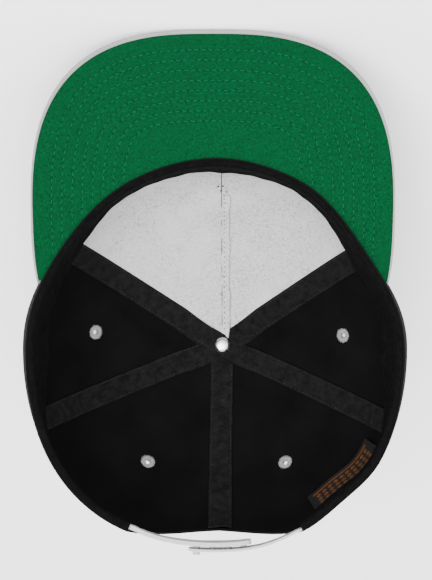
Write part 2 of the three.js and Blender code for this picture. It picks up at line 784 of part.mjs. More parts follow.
/** The top cover, whose edge turns down round the underlay as a lip. */
function peakTop() {
  const under = PEAK_RECESS + PEAK_UNDERLAY + GAP;
  const rings = steps(PEAK_COLUMNS).map((u) => {
    const t = lerp(-1, 1, u);
    const width = peakWidth(t);
    const rounding = PEAK_EDGE_ROUNDING / width;
    const lip = lipShare(t);
    return [
      ...steps(PEAK_ROWS).map((v) => peakPoint(t, v * (1 - rounding), PEAK_TOP_LEVEL)),
      peakPoint(t, 1, PEAK_TOP_LEVEL - PEAK_EDGE_ROUNDING),
      peakPoint(t, 1, PEAK_RECESS + PEAK_EDGE_ROUNDING),
      peakPoint(t, 1 - rounding, PEAK_RECESS),
      peakPoint(t, 1 - lip, PEAK_RECESS),
      ...steps(PEAK_ROWS).map((v) => peakPoint(t, (1 - v) * (1 - lip), under)),
    ];
  });
  return loft(rings);
}

function peakUnderside() {
  return wall(steps(PEAK_COLUMNS), steps(PEAK_ROWS), (u, v, face) => {
    const t = clamp(lerp(-1, 1, u), -PEAK_UNDERLAY_REACH, PEAK_UNDERLAY_REACH);
    const edge = 1 - lipShare(t) - GAP / peakWidth(t);
    return peakPoint(t, v * edge, PEAK_RECESS + (1 - face) * PEAK_UNDERLAY);
  });
}

// Button, rivet and eyelets

/** An outline of shares as one of radii and heights. */
function scaled(outline, radius, height) {
  return outline.map(({ out, up }) => [out * radius, up * height]);
}

function button() {
  return lathe(scaled(BUTTON_OUTLINE, BUTTON_RADIUS, BUTTON_HEIGHT), DOME_SIDES);
}

/** A domed cap on a shank that goes down through the crown's layers. */
function rivet() {
  const shank = [
    [0, -RIVET_LAYER],
    [SHANK_RADIUS, -RIVET_LAYER],
    [SHANK_RADIUS, 0],
  ];
  return lathe([...shank, ...scaled(RIVET_OUTLINE, RIVET_RADIUS, RIVET_HEIGHT)], DOME_SIDES);
}

/** A worked ring through the cloth: height 0 is the outside of the panel. */
function eyelet() {
  const [bore, neck, rim] = [EYELET_BORE_RADIUS, EYELET_NECK_RADIUS, EYELET_RADIUS];
  const outside = EYELET_GAP;
  const inside = -PANEL_WALL - EYELET_GAP;
  const soft = EYELET_RIM / 2;
  return lathe([
    [bore, inside - EYELET_RIM],
    [rim - soft, inside - EYELET_RIM],
    [rim, inside],
    [neck, inside],
    [neck, outside],
    [rim, outside],
    [rim - soft, outside + EYELET_RIM],
    [bore, outside + EYELET_RIM],
    [bore, inside - EYELET_RIM],
  ]);
}

/** Where an eyelet sits on the outside of the crown, and the way that it faces. */
function eyeletSeat({ azimuth, out }) {
  const angle = degToRad(azimuth);
  const along = alongAtRadius(angle, out * rimRadius(angle));
  const direction = crownNormal(angle, along);
  return { point: crownPoint(angle, along).addScaledVector(direction, -EYELET_INSET), direction };
}

// Assembly

const cap = new THREE.Group();

function add(name, geometry, material) {
  const mesh = new THREE.Mesh(geometry, material);
  mesh.name = name;
  cap.add(mesh);
  return mesh;
}

for (const { name, from, to, open } of PANELS) {
  let cloth = solidFrom(panel(from, to, open ? backColumns(from, to) : evenColumns(from, to)));
  for (const row of EYELETS.filter((eyeletRow) => eyeletRow.panel === name)) {
    const { point, direction } = eyeletSeat(row);
    cloth = cloth.subtract(solidFrom(drill(point, direction, EYELET_NECK_RADIUS + GAP)));
    const ring = add(row.name, eyelet(), GREY_THREAD);
    ring.position.copy(point);
    ring.quaternion.setFromUnitVectors(LATHE_AXIS, direction);
  }
  add(name, geometryFrom(cloth), BLACK_TWILL);
}

add("front_left_buckram", buckram(1), BUCKRAM);
add("front_right_buckram", buckram(-1), BUCKRAM);
add("front_seam_fold", seamFold(), BUCKRAM);
TAPES.forEach(({ name }, order) => add(name, tape(order), BLACK_TAPE));
add("label", label(), BLACK_TAPE);
add("sweatband", sweatband(), BLACK_TWILL);
add("strap_with_pegs", strapWithPegs(), GREY_PLASTIC);
add("strap_with_holes", strapWithHoles(), GREY_PLASTIC);
add("peak_top", peakTop(), GREY_TWILL);
add("peak_underside", peakUnderside(), GREEN_TWILL);

const outwards = UP.clone().negate();
const buttonMesh = add("button", button(), GREY_TWILL);
buttonMesh.position.set(BUTTON_SHIFT, 0, -CROWN_HEIGHT - GAP);
buttonMesh.quaternion.setFromUnitVectors(LATHE_AXIS, outwards);
const rivetMesh = add("button_rivet", rivet(), BRIGHT_STEEL);
rivetMesh.position.set(BUTTON_SHIFT, 0, -CROWN_HEIGHT + RIVET_LAYER);
rivetMesh.quaternion.setFromUnitVectors(LATHE_AXIS, UP);

// The cap as it lies: its lowest point is at z = 0, and the middle of its length and width at x = y = 0.
cap.rotation.x = -restTilt;
const lying = new THREE.Box3().setFromObject(cap, true);
const middle = lying.getCenter(new THREE.Vector3());
cap.position.set(-middle.x, -middle.y, -lying.min.z);

const part = new THREE.Group();
part.add(cap);

export default part;
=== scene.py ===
"""A six-panel snapback cap, lying upside down with its inside and the green lining of its peak showing."""

import math

import bpy
import numpy as np
from mathutils import Matrix, Vector


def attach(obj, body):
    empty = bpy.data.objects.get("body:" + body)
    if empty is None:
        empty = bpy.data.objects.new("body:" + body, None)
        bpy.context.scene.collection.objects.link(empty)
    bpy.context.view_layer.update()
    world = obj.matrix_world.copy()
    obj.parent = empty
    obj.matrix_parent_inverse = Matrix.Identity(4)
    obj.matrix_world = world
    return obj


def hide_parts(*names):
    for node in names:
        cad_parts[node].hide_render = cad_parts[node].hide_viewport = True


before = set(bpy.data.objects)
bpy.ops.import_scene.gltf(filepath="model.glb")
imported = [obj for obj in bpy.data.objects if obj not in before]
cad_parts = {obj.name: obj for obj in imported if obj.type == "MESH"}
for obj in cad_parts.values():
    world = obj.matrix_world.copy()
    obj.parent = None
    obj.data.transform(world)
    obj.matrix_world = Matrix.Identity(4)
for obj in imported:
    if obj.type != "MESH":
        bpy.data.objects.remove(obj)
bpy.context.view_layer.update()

# Crown panels. Six curved triangles of black cotton twill, sewn edge to edge and pressed open, so that
# the cloth swells a little between its seams. The two back ones are cut out in an arch over the strap.
# The shapes are drawn in millimetres with the rim level and the crown below it, and then laid down.

RIM_HALF_WIDTH = 97
RIM_HALF_LENGTH = 99.5
RIM_SQUARENESS_FRONT = 1.9
RIM_SQUARENESS_BACK = 2.38
RIM_RISE = 10
# Where the rim is drawn in from its oval: azimuth in degrees, by how much, and how far to each side.
RIM_DRAWN_IN = ((57, 5.4, 32), (-57, 2.8, 32), (140, 2.6, 17))
CROWN_HEIGHT = 115
BUTTON_SHIFT = 4
PANEL_PUFF = 1.5
PANEL_WALL = 1.2
PANEL_TIP_ALONG = 0.981
ARCH_HALF_WIDTH = 45
ARCH_HEIGHT = 47
SEAM_GAP = 0.3
SEAM_OVERLAP = 0.16
TURN = 2 * math.pi
# Azimuths of the seams in degrees, from the front towards the wearer's left.
SEAMS = {
    "front": 2, "front_left": 57.2, "rear_left": 113.3,
    "back": 178.6, "rear_right": 247.6, "front_right": 304.2,
}
SEAM_ANGLES = np.radians(list(SEAMS.values()))
# Columns: rise up the crown, then the radius at the front, the side and the back, as shares.
CROWN_PROFILE = np.array([
    (0, 1, 1, 1),
    (0.1, 1, 1.018, 1.006),
    (0.25, 0.997, 1.033, 1.006),
    (0.4, 0.978, 1.022, 0.982),
    (0.55, 0.93, 0.965, 0.92),
    (0.7, 0.82, 0.85, 0.795),
    (0.83, 0.64, 0.67, 0.615),
    (0.93, 0.415, 0.44, 0.4),
    (0.985, 0.2, 0.21, 0.193),
    (1, 0, 0, 0),
    (0.985, -0.2, -0.21, -0.193),
])
# How the cap lies on its front: tipped by this much, its rim's middle here, pressed flat within this ease.
TIP = math.radians(41.3273)
LYING_AT = (0.0961, -3.7406, 115.4314)
REST_EASE = 0.4
MM = 0.001
# Soft folds in the crown, in plan: from x, y to x, y, their width, and how far they push the cloth out.
CROWN_FOLDS = (
    (-56, 25, -17, -2, 4.5, 2.0),
    (60, 24, 22, -2, 4.2, 1.9),
    (-62, 8, -30, -3, 7, -0.7),
    (64, 9, 34, -2, 7, -0.6),
    (-70, -2, -50, 14, 6, 0.8),
    (-38, -30, -20, -58, 9, -0.8),
    (34, -32, 26, -60, 9, -0.7),
    (-24, 40, -10, 62, 8, -0.6),
    (30, 38, 18, 66, 8, 0.6),
)


def knots_of(profile):
    """Places of the profile's rows along the crown's side, 0 at the rim and 1 at the button."""
    outwards = np.diff(profile[:, 2]) * RIM_HALF_WIDTH
    upwards = np.diff(profile[:, 0]) * CROWN_HEIGHT
    places = np.concatenate([[0], np.cumsum(np.hypot(outwards, upwards))])
    return places / places[-2]


PROFILE_KNOTS = knots_of(CROWN_PROFILE)


def profile_at(along):
    """The profile's four columns, as a smooth curve through its rows."""
    along = np.clip(np.asarray(along, float), 0, PROFILE_KNOTS[-1])
    last = len(PROFILE_KNOTS) - 1
    end = np.clip(np.searchsorted(PROFILE_KNOTS, along, side="right"), 1, last)
    start = end - 1
    before = np.where(start > 0, start - 1, end)
    after = np.where(end < last, end + 1, start)
    low, high = PROFILE_KNOTS[start], PROFILE_KNOTS[end]
    half = (high - low) / 2
    lead = half / (low - PROFILE_KNOTS[before])
    trail = half / (PROFILE_KNOTS[after] - high)
    p = (along - low) / (high - low)
    weights = (
        (before, -lead * p**3 + 2 * lead * p**2 - lead * p),
        (start, (1 + lead) * p**3 + (-1.5 - 2 * lead) * p**2 + (-0.5 + lead) * p + 1),
        (end, (-1 - trail) * p**3 + (1.5 + trail) * p**2 + 0.5 * p),
        (after, trail * p**3 - trail * p**2),
    )
    return sum(CROWN_PROFILE[row] * weight[..., None] for row, weight in weights)


def mix(low, high, share):
    return low + (high - low) * share


def smooth(value, low, high):
    """0 below low, 1 above high and an even turn between."""
    share = np.clip((value - low) / (high - low), 0, 1)
    return share * share * (3 - 2 * share)


def rim_radius(azimuth):
    squareness = mix(RIM_SQUARENESS_BACK, RIM_SQUARENESS_FRONT, (1 + np.cos(azimuth)) / 2)
    across = np.abs(np.sin(azimuth)) / RIM_HALF_WIDTH
    ahead = np.abs(np.cos(azimuth)) / RIM_HALF_LENGTH
    radius = (across**squareness + ahead**squareness) ** (-1 / squareness)
    for middle, by, spread in RIM_DRAWN_IN:
        angle = azimuth - math.radians(middle)
        away = np.abs(np.arctan2(np.sin(angle), np.cos(angle))) / math.radians(spread)
        radius = radius - by * np.cos(np.minimum(1, away) * math.pi / 2) ** 2
    return radius


def rim_rise(azimuth):
    return RIM_RISE * np.maximum(0, np.cos(azimuth)) ** 2


def puff(azimuth, along):
    """Swell of a panel between its two seams."""
    turned = np.mod(azimuth, TURN)
    turned = np.where(turned < SEAM_ANGLES[0], turned + TURN, turned)
    edges = np.append(SEAM_ANGLES, SEAM_ANGLES[0] + TURN)
    after = np.clip(np.searchsorted(edges, turned, side="right"), 1, len(edges) - 1)
    across = (turned - edges[after - 1]) / (edges[after] - edges[after - 1])
    return PANEL_PUFF * 4 * across * (1 - across) * np.sin(math.pi * along)


def side_share(azimuth, along):
    _, front, side, back = np.moveaxis(profile_at(along), -1, 0)
    ahead = np.cos(azimuth)
    return mix(side, np.where(ahead > 0, front, back), ahead**2)


def crown_radius(azimuth, along):
    return rim_radius(azimuth) * side_share(azimuth, along) + puff(azimuth, along)


def crown_point(azimuth, along):
    """A point on the outside of the crown, in the cap's own frame."""
    azimuth, along = np.broadcast_arrays(np.asarray(azimuth, float), np.asarray(along, float))
    radius = crown_radius(azimuth, along)
    shift = BUTTON_SHIFT * (1 - side_share(azimuth, along))
    depth = mix(rim_rise(azimuth), CROWN_HEIGHT, profile_at(along)[..., 0])
    return np.stack([shift + radius * np.sin(azimuth), radius * np.cos(azimuth), -depth], axis=-1)


def crown_normal(azimuth, along):
    """The way out of the crown."""
    step = 1e-3
    azimuth, along = np.broadcast_arrays(np.asarray(azimuth, float), np.asarray(along, float))
    around = crown_point(azimuth + step, along) - crown_point(azimuth - step, along)
    up = crown_point(azimuth, along + step) - crown_point(azimuth, along - step)
    normal = np.cross(around, up)
    normal /= np.linalg.norm(normal, axis=-1, keepdims=True)
    outwards = np.stack([np.sin(azimuth), np.cos(azimuth), -along], axis=-1)
    return normal * np.where((normal * outwards).sum(-1, keepdims=True) < 0, -1, 1)


def turned_down(vectors):
    """Directions of the cap's own frame, as they are in the lying cap."""
    x, y, z = np.moveaxis(np.asarray(vectors, float), -1, 0)
    cos, sin = math.cos(TIP), math.sin(TIP)
    return np.stack([x, y * cos + z * sin, z * cos - y * sin], axis=-1)


def laid(points):
    """Points of the cap's own frame as they are in the lying cap, in metres."""
    return (turned_down(points) + LYING_AT) * MM


def crown_fold(points):
    """How far the soft folds push the cloth out at points of the crown."""
    x, y = points[..., 0], points[..., 1]
    push = np.zeros_like(x)
    for from_x, from_y, to_x, to_y, width, height in CROWN_FOLDS:
        run_x, run_y = to_x - from_x, to_y - from_y
        length = run_x**2 + run_y**2
        share = ((x - from_x) * run_x + (y - from_y) * run_y) / length
        away = ((x - from_x) * run_y - (y - from_y) * run_x) / math.sqrt(length)
        ends = smooth(share, -0.35, 0.25) * (1 - smooth(share, 0.75, 1.35))
        push += height * ends * np.exp(-((away / width) ** 2))
    return push


def cloth_point(azimuth, along, layer):
    """A point some way in from the outside of the crown, where cloth that meets the floor lies flat."""
    point = crown_point(azimuth, along)
    deep = np.broadcast_to(np.asarray(layer, float), point.shape[:-1])
    push = crown_fold(point) - deep
    spot = laid(point + crown_normal(azimuth, along) * push[..., None]) / MM
    sunk = deep - spot[..., 2]
    eased = (np.clip(sunk + REST_EASE, 0, None)) ** 2 / (4 * REST_EASE)
    spot[..., 2] += np.where(sunk > REST_EASE, sunk, eased)
    return spot * MM


RISE_TABLE = np.linspace(0, 1, 2001)
RISES = profile_at(RISE_TABLE)[:, 0]


def along_at_depth(azimuth, depth):
    return np.interp(depth / (CROWN_HEIGHT - rim_rise(azimuth)), RISES, RISE_TABLE)


def along_at_radius(azimuth, radius):
    low = np.full(np.broadcast(azimuth, radius).shape, 0.4)
    high = np.full_like(low, 1)
    for _ in range(30):
        middle = (low + high) / 2
        wide = crown_radius(azimuth, middle) > radius
        low, high = np.where(wide, middle, low), np.where(wide, high, middle)
    return (low + high) / 2


def arch_height(azimuth):
    """Height of the arch's edge over the rim."""
    share = rim_radius(azimuth) * np.sin(azimuth) / ARCH_HALF_WIDTH
    inside = (np.cos(azimuth) < 0) & (np.abs(share) < 1)
    return np.where(inside, ARCH_HEIGHT * np.sqrt(np.clip(1 - share**2, 0, 1)), 0)


def panel_along(azimuth, share):
    """Up a panel, from its lower edge to its tip."""
    return mix(along_at_depth(azimuth, arch_height(azimuth)), PANEL_TIP_ALONG, share)


def azimuth_at_width(x):
    """Azimuth, in the back half, where the rim is x to the wearer's left."""
    low, high = math.pi / 2, 1.5 * math.pi
    for _ in range(40):
        middle = (low + high) / 2
        if rim_radius(middle) * math.sin(middle) > x:
            low = middle
        else:
            high = middle
    return (low + high) / 2


def deselect():
    bpy.ops.object.select_all(action="DESELECT")


def pick(*pieces):
    """Selects these pieces alone, with the first one active."""
    deselect()
    for piece in pieces:
        piece.select_set(True)
    bpy.context.view_layer.objects.active = pieces[0]


def grid(name, columns, rows):
    """A flat grid with a row of points for each place, and the place of each of its points."""
    deselect()
    bpy.ops.mesh.primitive_grid_add(x_subdivisions=len(columns) - 1, y_subdivisions=len(rows) - 1, size=1)
    piece = bpy.context.object
    piece.name = piece.data.name = name
    flat = np.zeros(len(piece.data.vertices) * 3)
    piece.data.vertices.foreach_get("co", flat)
    flat = flat.reshape(-1, 3) + 0.5
    column = np.rint(flat[:, 0] * (len(columns) - 1)).astype(int)
    row = np.rint(flat[:, 1] * (len(rows) - 1)).astype(int)
    return piece, np.asarray(columns, float)[column], np.asarray(rows, float)[row]


def shape(piece, points, weave):
    """Moves a grid's points to their places, and lays the weave on them, in millimetres."""
    piece.data.vertices.foreach_set("co", np.ascontiguousarray(points, float).ravel())
    corner = np.zeros(len(piece.data.loops), int)
    piece.data.loops.foreach_get("vertex_index", corner)
    piece.data.uv_layers[0].data.foreach_set("uv", np.ascontiguousarray(weave[corner], float).ravel())
    piece.data.update()


def face_away(piece, middle):
    """Turns an open cloth's faces away from a point."""
    faces = piece.data.polygons
    if sum((face.center - middle).dot(face.normal) * face.area for face in faces) < 0:
        piece.data.flip_normals()


def apply(piece, kind, **settings):
    modifier = piece.modifiers.new(kind.lower(), kind)
    for name, value in settings.items():
        setattr(modifier, name, value)
    pick(piece)
    bpy.ops.object.modifier_apply(modifier=modifier.name)


def smoothed(piece, degrees=40):
    pick(piece)
    bpy.ops.object.shade_smooth_by_angle(angle=math.radians(degrees))


INSIDE_DEPTH = 40
CROWN_MIDDLE = Vector(laid((BUTTON_SHIFT, 0, -INSIDE_DEPTH)))


def finished(piece, material, nodes, wall=0.0):
    """Gives open cloth its thickness on the inside, its finish and its place in the frame."""
    if wall:
        face_away(piece, CROWN_MIDDLE)
        apply(piece, "SOLIDIFY", thickness=wall * MM, offset=-1, use_even_offset=False)
    smoothed(piece)
    piece.data.materials.clear()
    piece.data.materials.append(material)
    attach(piece, "root")
    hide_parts(*nodes)


def wired(tree, kind, inputs=(), **settings):
    """A node with its settings made, and each input set, or linked where a socket is given."""
    made = tree.nodes.new(kind)
    for name, value in settings.items():
        setattr(made, name, value)
    for name, value in dict(inputs).items():
        if isinstance(value, bpy.types.NodeSocket):
            tree.links.new(value, made.inputs[name])
        else:
            made.inputs[name].default_value = value
    return made


def blank(name, **values):
    """A material whose uniform values are set, and its node tree and shader."""
    material = bpy.data.materials.new(name)
    material.use_nodes = True
    shader = material.node_tree.nodes["Principled BSDF"]
    for key, value in values.items():
        shader.inputs[key.replace("_", " ")].default_value = value
    return material, material.node_tree, shader


def grey(value):
    return (value, value, value, 1)


def noise(tree, place, scale, detail, **values):
    """Uneven shares, 0 to 1, over a place on the piece."""
    inputs = {"Vector": place, "Scale": scale, "Detail": detail, **values}
    return wired(tree, "ShaderNodeTexNoise", inputs).outputs["Fac"]


def waves(tree, place, scale, distortion, **values):
    """Threads as waves of shares, 0 to 1, over a place on the piece."""
    inputs = {"Vector": place, "Scale": scale, "Distortion": distortion, **values}
    return wired(tree, "ShaderNodeTexWave", inputs).outputs["Fac"]


def blend(tree, share, dark, light):
    """A colour between two, by a share."""
    return wired(tree, "ShaderNodeMix", {0: share, 6: dark, 7: light}, data_type="RGBA").outputs[2]


def surfaced(tree, shader, colour, height, relief):
    """Gives a shader its colour, and a relief that follows a height."""
    bump = wired(tree, "ShaderNodeBump", {"Height": height, "Distance": relief})
    tree.links.new(colour, shader.inputs["Base Color"])
    tree.links.new(bump.outputs[0], shader.inputs["Normal"])


# Scale of a wave texture whose waves are one unit of the map apart.
WAVE = TURN / 20
# Angle between the ribs and the threads that cross them.
CROSSING = 1.1


def woven(name, dark, light, rib=0.55, slant=0.9, relief=0.00012, patch=70, fuzz=1500, mottle=0.5, **values):
    """Woven cloth: slanting ribs on its own map, a fuzz of loose fibres and larger uneven patches."""
    values = {"Roughness": 0.92, "Specular IOR Level": 0.18, "Sheen Weight": 0.0, **values}
    material, tree, shader = blank(name, **values)
    where = tree.nodes.new("ShaderNodeTexCoord")
    slanted = wired(tree, "ShaderNodeMapping", {"Vector": where.outputs["UV"], "Rotation": (0, 0, slant)})
    crossed = wired(
        tree, "ShaderNodeMapping", {"Vector": where.outputs["UV"], "Rotation": (0, 0, slant - CROSSING)}
    )
    ribs = waves(tree, slanted.outputs[0], WAVE / rib, 0.8, **{"Detail": 1, "Detail Scale": 1.5})
    threads = waves(tree, crossed.outputs[0], WAVE / rib * 1.3, 0.5, Detail=1)
    fibres = noise(tree, where.outputs["Object"], fuzz, 2)
    patches = noise(tree, where.outputs["Object"], patch, 3)
    weave = wired(tree, "ShaderNodeMath", {0: ribs, 1: threads}, operation="MULTIPLY")
    rough = wired(tree, "ShaderNodeMix", {0: 0.55, 2: weave.outputs[0], 3: fibres})
    uneven = wired(tree, "ShaderNodeMix", {0: mottle, 2: rough.outputs[0], 3: patches})
    shade = wired(tree, "ShaderNodeMapRange", {0: uneven.outputs[0], 1: 0.25, 2: 0.65})
    surfaced(tree, shader, blend(tree, shade.outputs[0], dark, light), rough.outputs[0], relief)
    return material


black_twill = woven(
    "black_twill", grey(0.0015), grey(0.0056), patch=45, mottle=0.4, **{"Specular IOR Level": 0.045}
)

PANELS = (
    ("front_left_panel", "front", "front_left"),
    ("side_left_panel", "front_left", "rear_left"),
    ("back_left_panel", "rear_left", "back"),
    ("back_right_panel", "back", "rear_right"),
    ("side_right_panel", "rear_right", "front_right"),
    ("front_right_panel", "front_right", "front"),
)
PANEL_COLUMNS = 36
ARCH_COLUMNS = 26
PANEL_ROWS = 72
SIDE_LENGTH = 152
# The flat cut in metres: a panel's widest and its length, and the share of that rectangle that it fills.
PANEL_CUT = {"front": (0.11, 0.158, 0.68), "side": (0.105, 0.158, 0.71), "back": (0.118, 0.158, 0.67)}


def panel_columns(low, high, to):
    """Azimuths across a panel, closer together at its seams and round the foot of the arch."""
    def crowded(count):
        even = np.linspace(0, 1, count + 1)
        return mix(even, (1 - np.cos(math.pi * even)) / 2, 0.7)

    if to not in ("back", "rear_right"):
        return mix(low, high, crowded(PANEL_COLUMNS))
    seam = math.radians(SEAMS["back"])
    turn_at_seam = math.acos(rim_radius(seam) * math.sin(seam) / ARCH_HALF_WIDTH)
    start, end = (0, turn_at_seam) if to == "back" else (turn_at_seam, math.pi)
    turns = np.linspace(start, end, ARCH_COLUMNS + 1)
    arch = [azimuth_at_width(ARCH_HALF_WIDTH * math.cos(turn)) for turn in turns]
    arch[0 if to == "rear_right" else -1] = seam
    even = np.linspace(0, 1, PANEL_COLUMNS // 2 + 1)
    if to == "back":
        return np.concatenate([mix(low, arch[0], even)[:-1], arch])
    return np.concatenate([arch, mix(arch[-1], high, even)[1:]])


def weave_on_crown(azimuth, along, middle):
    """Place on a flat cut, in millimetres: across from its middle line, and up from the rim."""
    return np.stack([(azimuth - middle) * crown_radius(middle, along), along * SIDE_LENGTH], axis=-1)


panels = {}
for name, start, end in PANELS:
    low, high = math.radians(SEAMS[start]), math.radians(SEAMS[end])
    high += TURN if high < low else 0
    piece, azimuth, share = grid(name, panel_columns(low, high, end), np.linspace(0, 1, PANEL_ROWS + 1))
    along = panel_along(azimuth, share)
    beyond = SEAM_OVERLAP / 2 / crown_radius(azimuth, along)
    azimuth = mix(low - beyond, high + beyond, (azimuth - low) / (high - low))
    shape(piece, cloth_point(azimuth, along, 0), weave_on_crown(azimuth, along, (low + high) / 2))
    face_away(piece, CROWN_MIDDLE)
    apply(piece, "SOLIDIFY", thickness=PANEL_WALL * MM, offset=-1)
    panels[name] = piece

# Eyelets. Four air holes, each cut through the middle of a panel and worked over with light grey thread
# that is wound over a cord from the hole to a ragged outer edge, on both faces of the cloth.

# Columns: name, panel, azimuth, and the share of the rim's radius that it is out from the button.
EYELETS = (
    ("eyelet_side_left", "side_left_panel", 85, 0.735),
    ("eyelet_back_left", "back_left_panel", 149.5, 0.74),
    ("eyelet_back_right", "back_right_panel", 211, 0.733),
    ("eyelet_side_right", "side_right_panel", 276.6, 0.713),
)
EYELET_CUT_RADIUS = 2.5
EYELET_CORD_RADIUS = 2.7
EYELET_CORD_THICKNESS = 1.15
EYELET_THREADS = 46
EYELET_THREAD_LENGTH = 3.0
EYELET_THREAD_THICKNESS = 0.44
EYELET_THREAD_SUNK = 0.06
PUNCH_LENGTH = 12
THREAD_TWIST = 0.06
THREAD_UNEVEN = 0.05


def stood_on(piece, point, direction):
    """Moves a piece that was modelled upright at the origin to a point, facing a direction."""
    turn = Vector((0, 0, 1)).rotation_difference(Vector(direction)).to_matrix().to_4x4()
    piece.data.transform(Matrix.Translation(Vector(point)) @ turn @ piece.matrix_basis)
    piece.matrix_basis = Matrix.Identity(4)
    piece.data.update()


def threads(name, centres, runs, ups, length, thickness, material, slot):
    """Stitches as one mesh: each a short rounded thread, at a centre, along a run and proud of a surface."""
    deselect()
    bpy.ops.mesh.primitive_uv_sphere_add(segments=6, ring_count=4, radius=0.5)
    one = bpy.context.object
    corners = np.array([vertex.co for vertex in one.data.vertices])
    faces = [list(face.vertices) for face in one.data.polygons]
    bpy.data.objects.remove(one)
    centres, runs, ups = (np.asarray(value, float).reshape(-1, 3) for value in (centres, runs, ups))
    runs = runs / np.linalg.norm(runs, axis=1, keepdims=True)
    sides = np.cross(ups, runs)
    sides /= np.linalg.norm(sides, axis=1, keepdims=True)
    ups = np.cross(runs, sides)
    dice = np.random.default_rng(len(centres))
    turn = dice.normal(0, THREAD_TWIST, len(centres))[:, None]
    runs, sides = runs * np.cos(turn) + sides * np.sin(turn), sides * np.cos(turn) - runs * np.sin(turn)
    longs = length * MM * (1 + dice.normal(0, THREAD_UNEVEN, len(centres)))[:, None, None]
    parts = (sides[:, None] * corners[None, :, :1] + ups[:, None] * corners[None, :, 1:2]) * thickness * MM
    points = centres[:, None] + parts + runs[:, None] * corners[None, :, 2:] * longs
    mesh = bpy.data.meshes.new(name)
    step = len(corners)
    repeated = [[i + k * step for i in face] for k in range(len(centres)) for face in faces]
    mesh.from_pydata(points.reshape(-1, 3).tolist(), [], repeated)
    piece = bpy.data.objects.new(name, mesh)
    bpy.context.scene.collection.objects.link(piece)
    smoothed(piece, 180)
    piece.data.materials.append(material)
    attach(piece, "root")
    return piece


def spun_thread(name, dark, light, **values):
    """Thread: fine uneven yarn that is a little paler on its crests."""
    material, tree, shader = blank(name, **{"Roughness": 0.7, "Specular IOR Level": 0.3, **values})
    where = tree.nodes.new("ShaderNodeTexCoord")
    yarn = noise(tree, where.outputs["Object"], 2600, 2)
    shade = wired(tree, "ShaderNodeMapRange", {0: yarn, 1: 0.35, 2: 0.65})
    surfaced(tree, shader, blend(tree, shade.outputs[0], dark, light), yarn, 0.0001)
    return material


grey_thread = spun_thread("grey_thread", grey(0.16), grey(0.34))

for name, panel, azimuth, out in EYELETS:
    angle = math.radians(azimuth)
    along = float(along_at_radius(angle, out * rim_radius(angle)))
    direction = turned_down(crown_normal(angle, along))
    middle = cloth_point(np.array([angle]), np.array([along]), PANEL_WALL / 2)[0]
    deselect()
    bpy.ops.mesh.primitive_cylinder_add(vertices=32, radius=EYELET_CUT_RADIUS * MM, depth=PUNCH_LENGTH * MM)
    cutter = bpy.context.object
    stood_on(cutter, middle, direction)
    apply(panels[panel], "BOOLEAN", operation="DIFFERENCE", solver="EXACT", object=cutter)
    bpy.data.objects.remove(cutter)
    deselect()
    bpy.ops.mesh.primitive_torus_add(
        major_segments=40, minor_segments=14,
        major_radius=EYELET_CORD_RADIUS * MM, minor_radius=EYELET_CORD_THICKNESS * MM,
    )
    cord = bpy.context.object
    cord.name = cord.data.name = name
    stood_on(cord, middle, direction)
    finished(cord, grey_thread, [name])
    side = np.cross(direction, (0.3, 0.5, 0.8))
    side /= np.linalg.norm(side)
    other = np.cross(direction, side)
    dice = np.random.default_rng(round(azimuth))
    centres, runs, ups = [], [], []
    for face in (1, -1):
        for k in range(EYELET_THREADS):
            around = TURN * (k + dice.normal(0, 0.12)) / EYELET_THREADS
            ray = side * math.cos(around) + other * math.sin(around)
            reach = EYELET_CORD_RADIUS + dice.normal(0.05, 0.14)
            height = face * (EYELET_CORD_THICKNESS - EYELET_THREAD_SUNK)
            centres.append(middle + (ray * reach + direction * height) * MM)
            runs.append(ray)
            ups.append(direction * face)
    threads(
        f"{name}_threads", centres, runs, ups, EYELET_THREAD_LENGTH, EYELET_THREAD_THICKNESS,
        grey_thread, "eyelet_thread",
    )

for name, start, end in PANELS:
    piece = panels[name]
    finished(piece, black_twill, [name])
    width, length, fill = PANEL_CUT[name.split("_")[0]]

# Buckram. Two pieces of stiff white-grey net, glued behind the front panels from the front seam to the
# tapes. The glue soaks through in places, so its open weave shows as grey specks.

BUCKRAM_LAYER = 1.3
BUCKRAM_WALL = 0.5
BUCKRAM_COLUMNS = 44
BUCKRAM_ROWS = 80
BUCKRAM_SPAN = (0.05, 0.995)
BUCKRAM_CUT = (0.1, 0.15, 0.68)


def buckram_cloth():
    """Stiffened net: pale threads, grey specks between them that gather in patches, and glue smears."""
    material, tree, shader = blank("white_buckram", Roughness=0.85, Specular_IOR_Level=0.25)
    where = tree.nodes.new("ShaderNodeTexCoord")
    net = noise(tree, where.outputs["Object"], 1500, 3, Roughness=0.75)
    coarse = noise(tree, where.outputs["Object"], 600, 2)
    patches = noise(tree, where.outputs["Object"], 55, 2)
    specks = wired(tree, "ShaderNodeMapRange", {0: net, 1: 0.36, 2: 0.52})
    smears = wired(tree, "ShaderNodeMapRange", {0: coarse, 1: 0.3, 2: 0.5})
    both = wired(tree, "ShaderNodeMath", {0: specks.outputs[0], 1: smears.outputs[0]}, operation="MULTIPLY")
    fading = wired(tree, "ShaderNodeMapRange", {0: patches, 1: 0.35, 2: 0.6, 3: 0.35, 4: 0.95})
    speckled = wired(tree, "ShaderNodeMix", {0: fading.outputs[0], 2: 1.0, 3: both.outputs[0]})
    colour = blend(tree, speckled.outputs[0], grey(0.31), grey(0.6))
    surfaced(tree, shader, colour, both.outputs[0], 0.00012)
    return material


white_buckram = buckram_cloth()

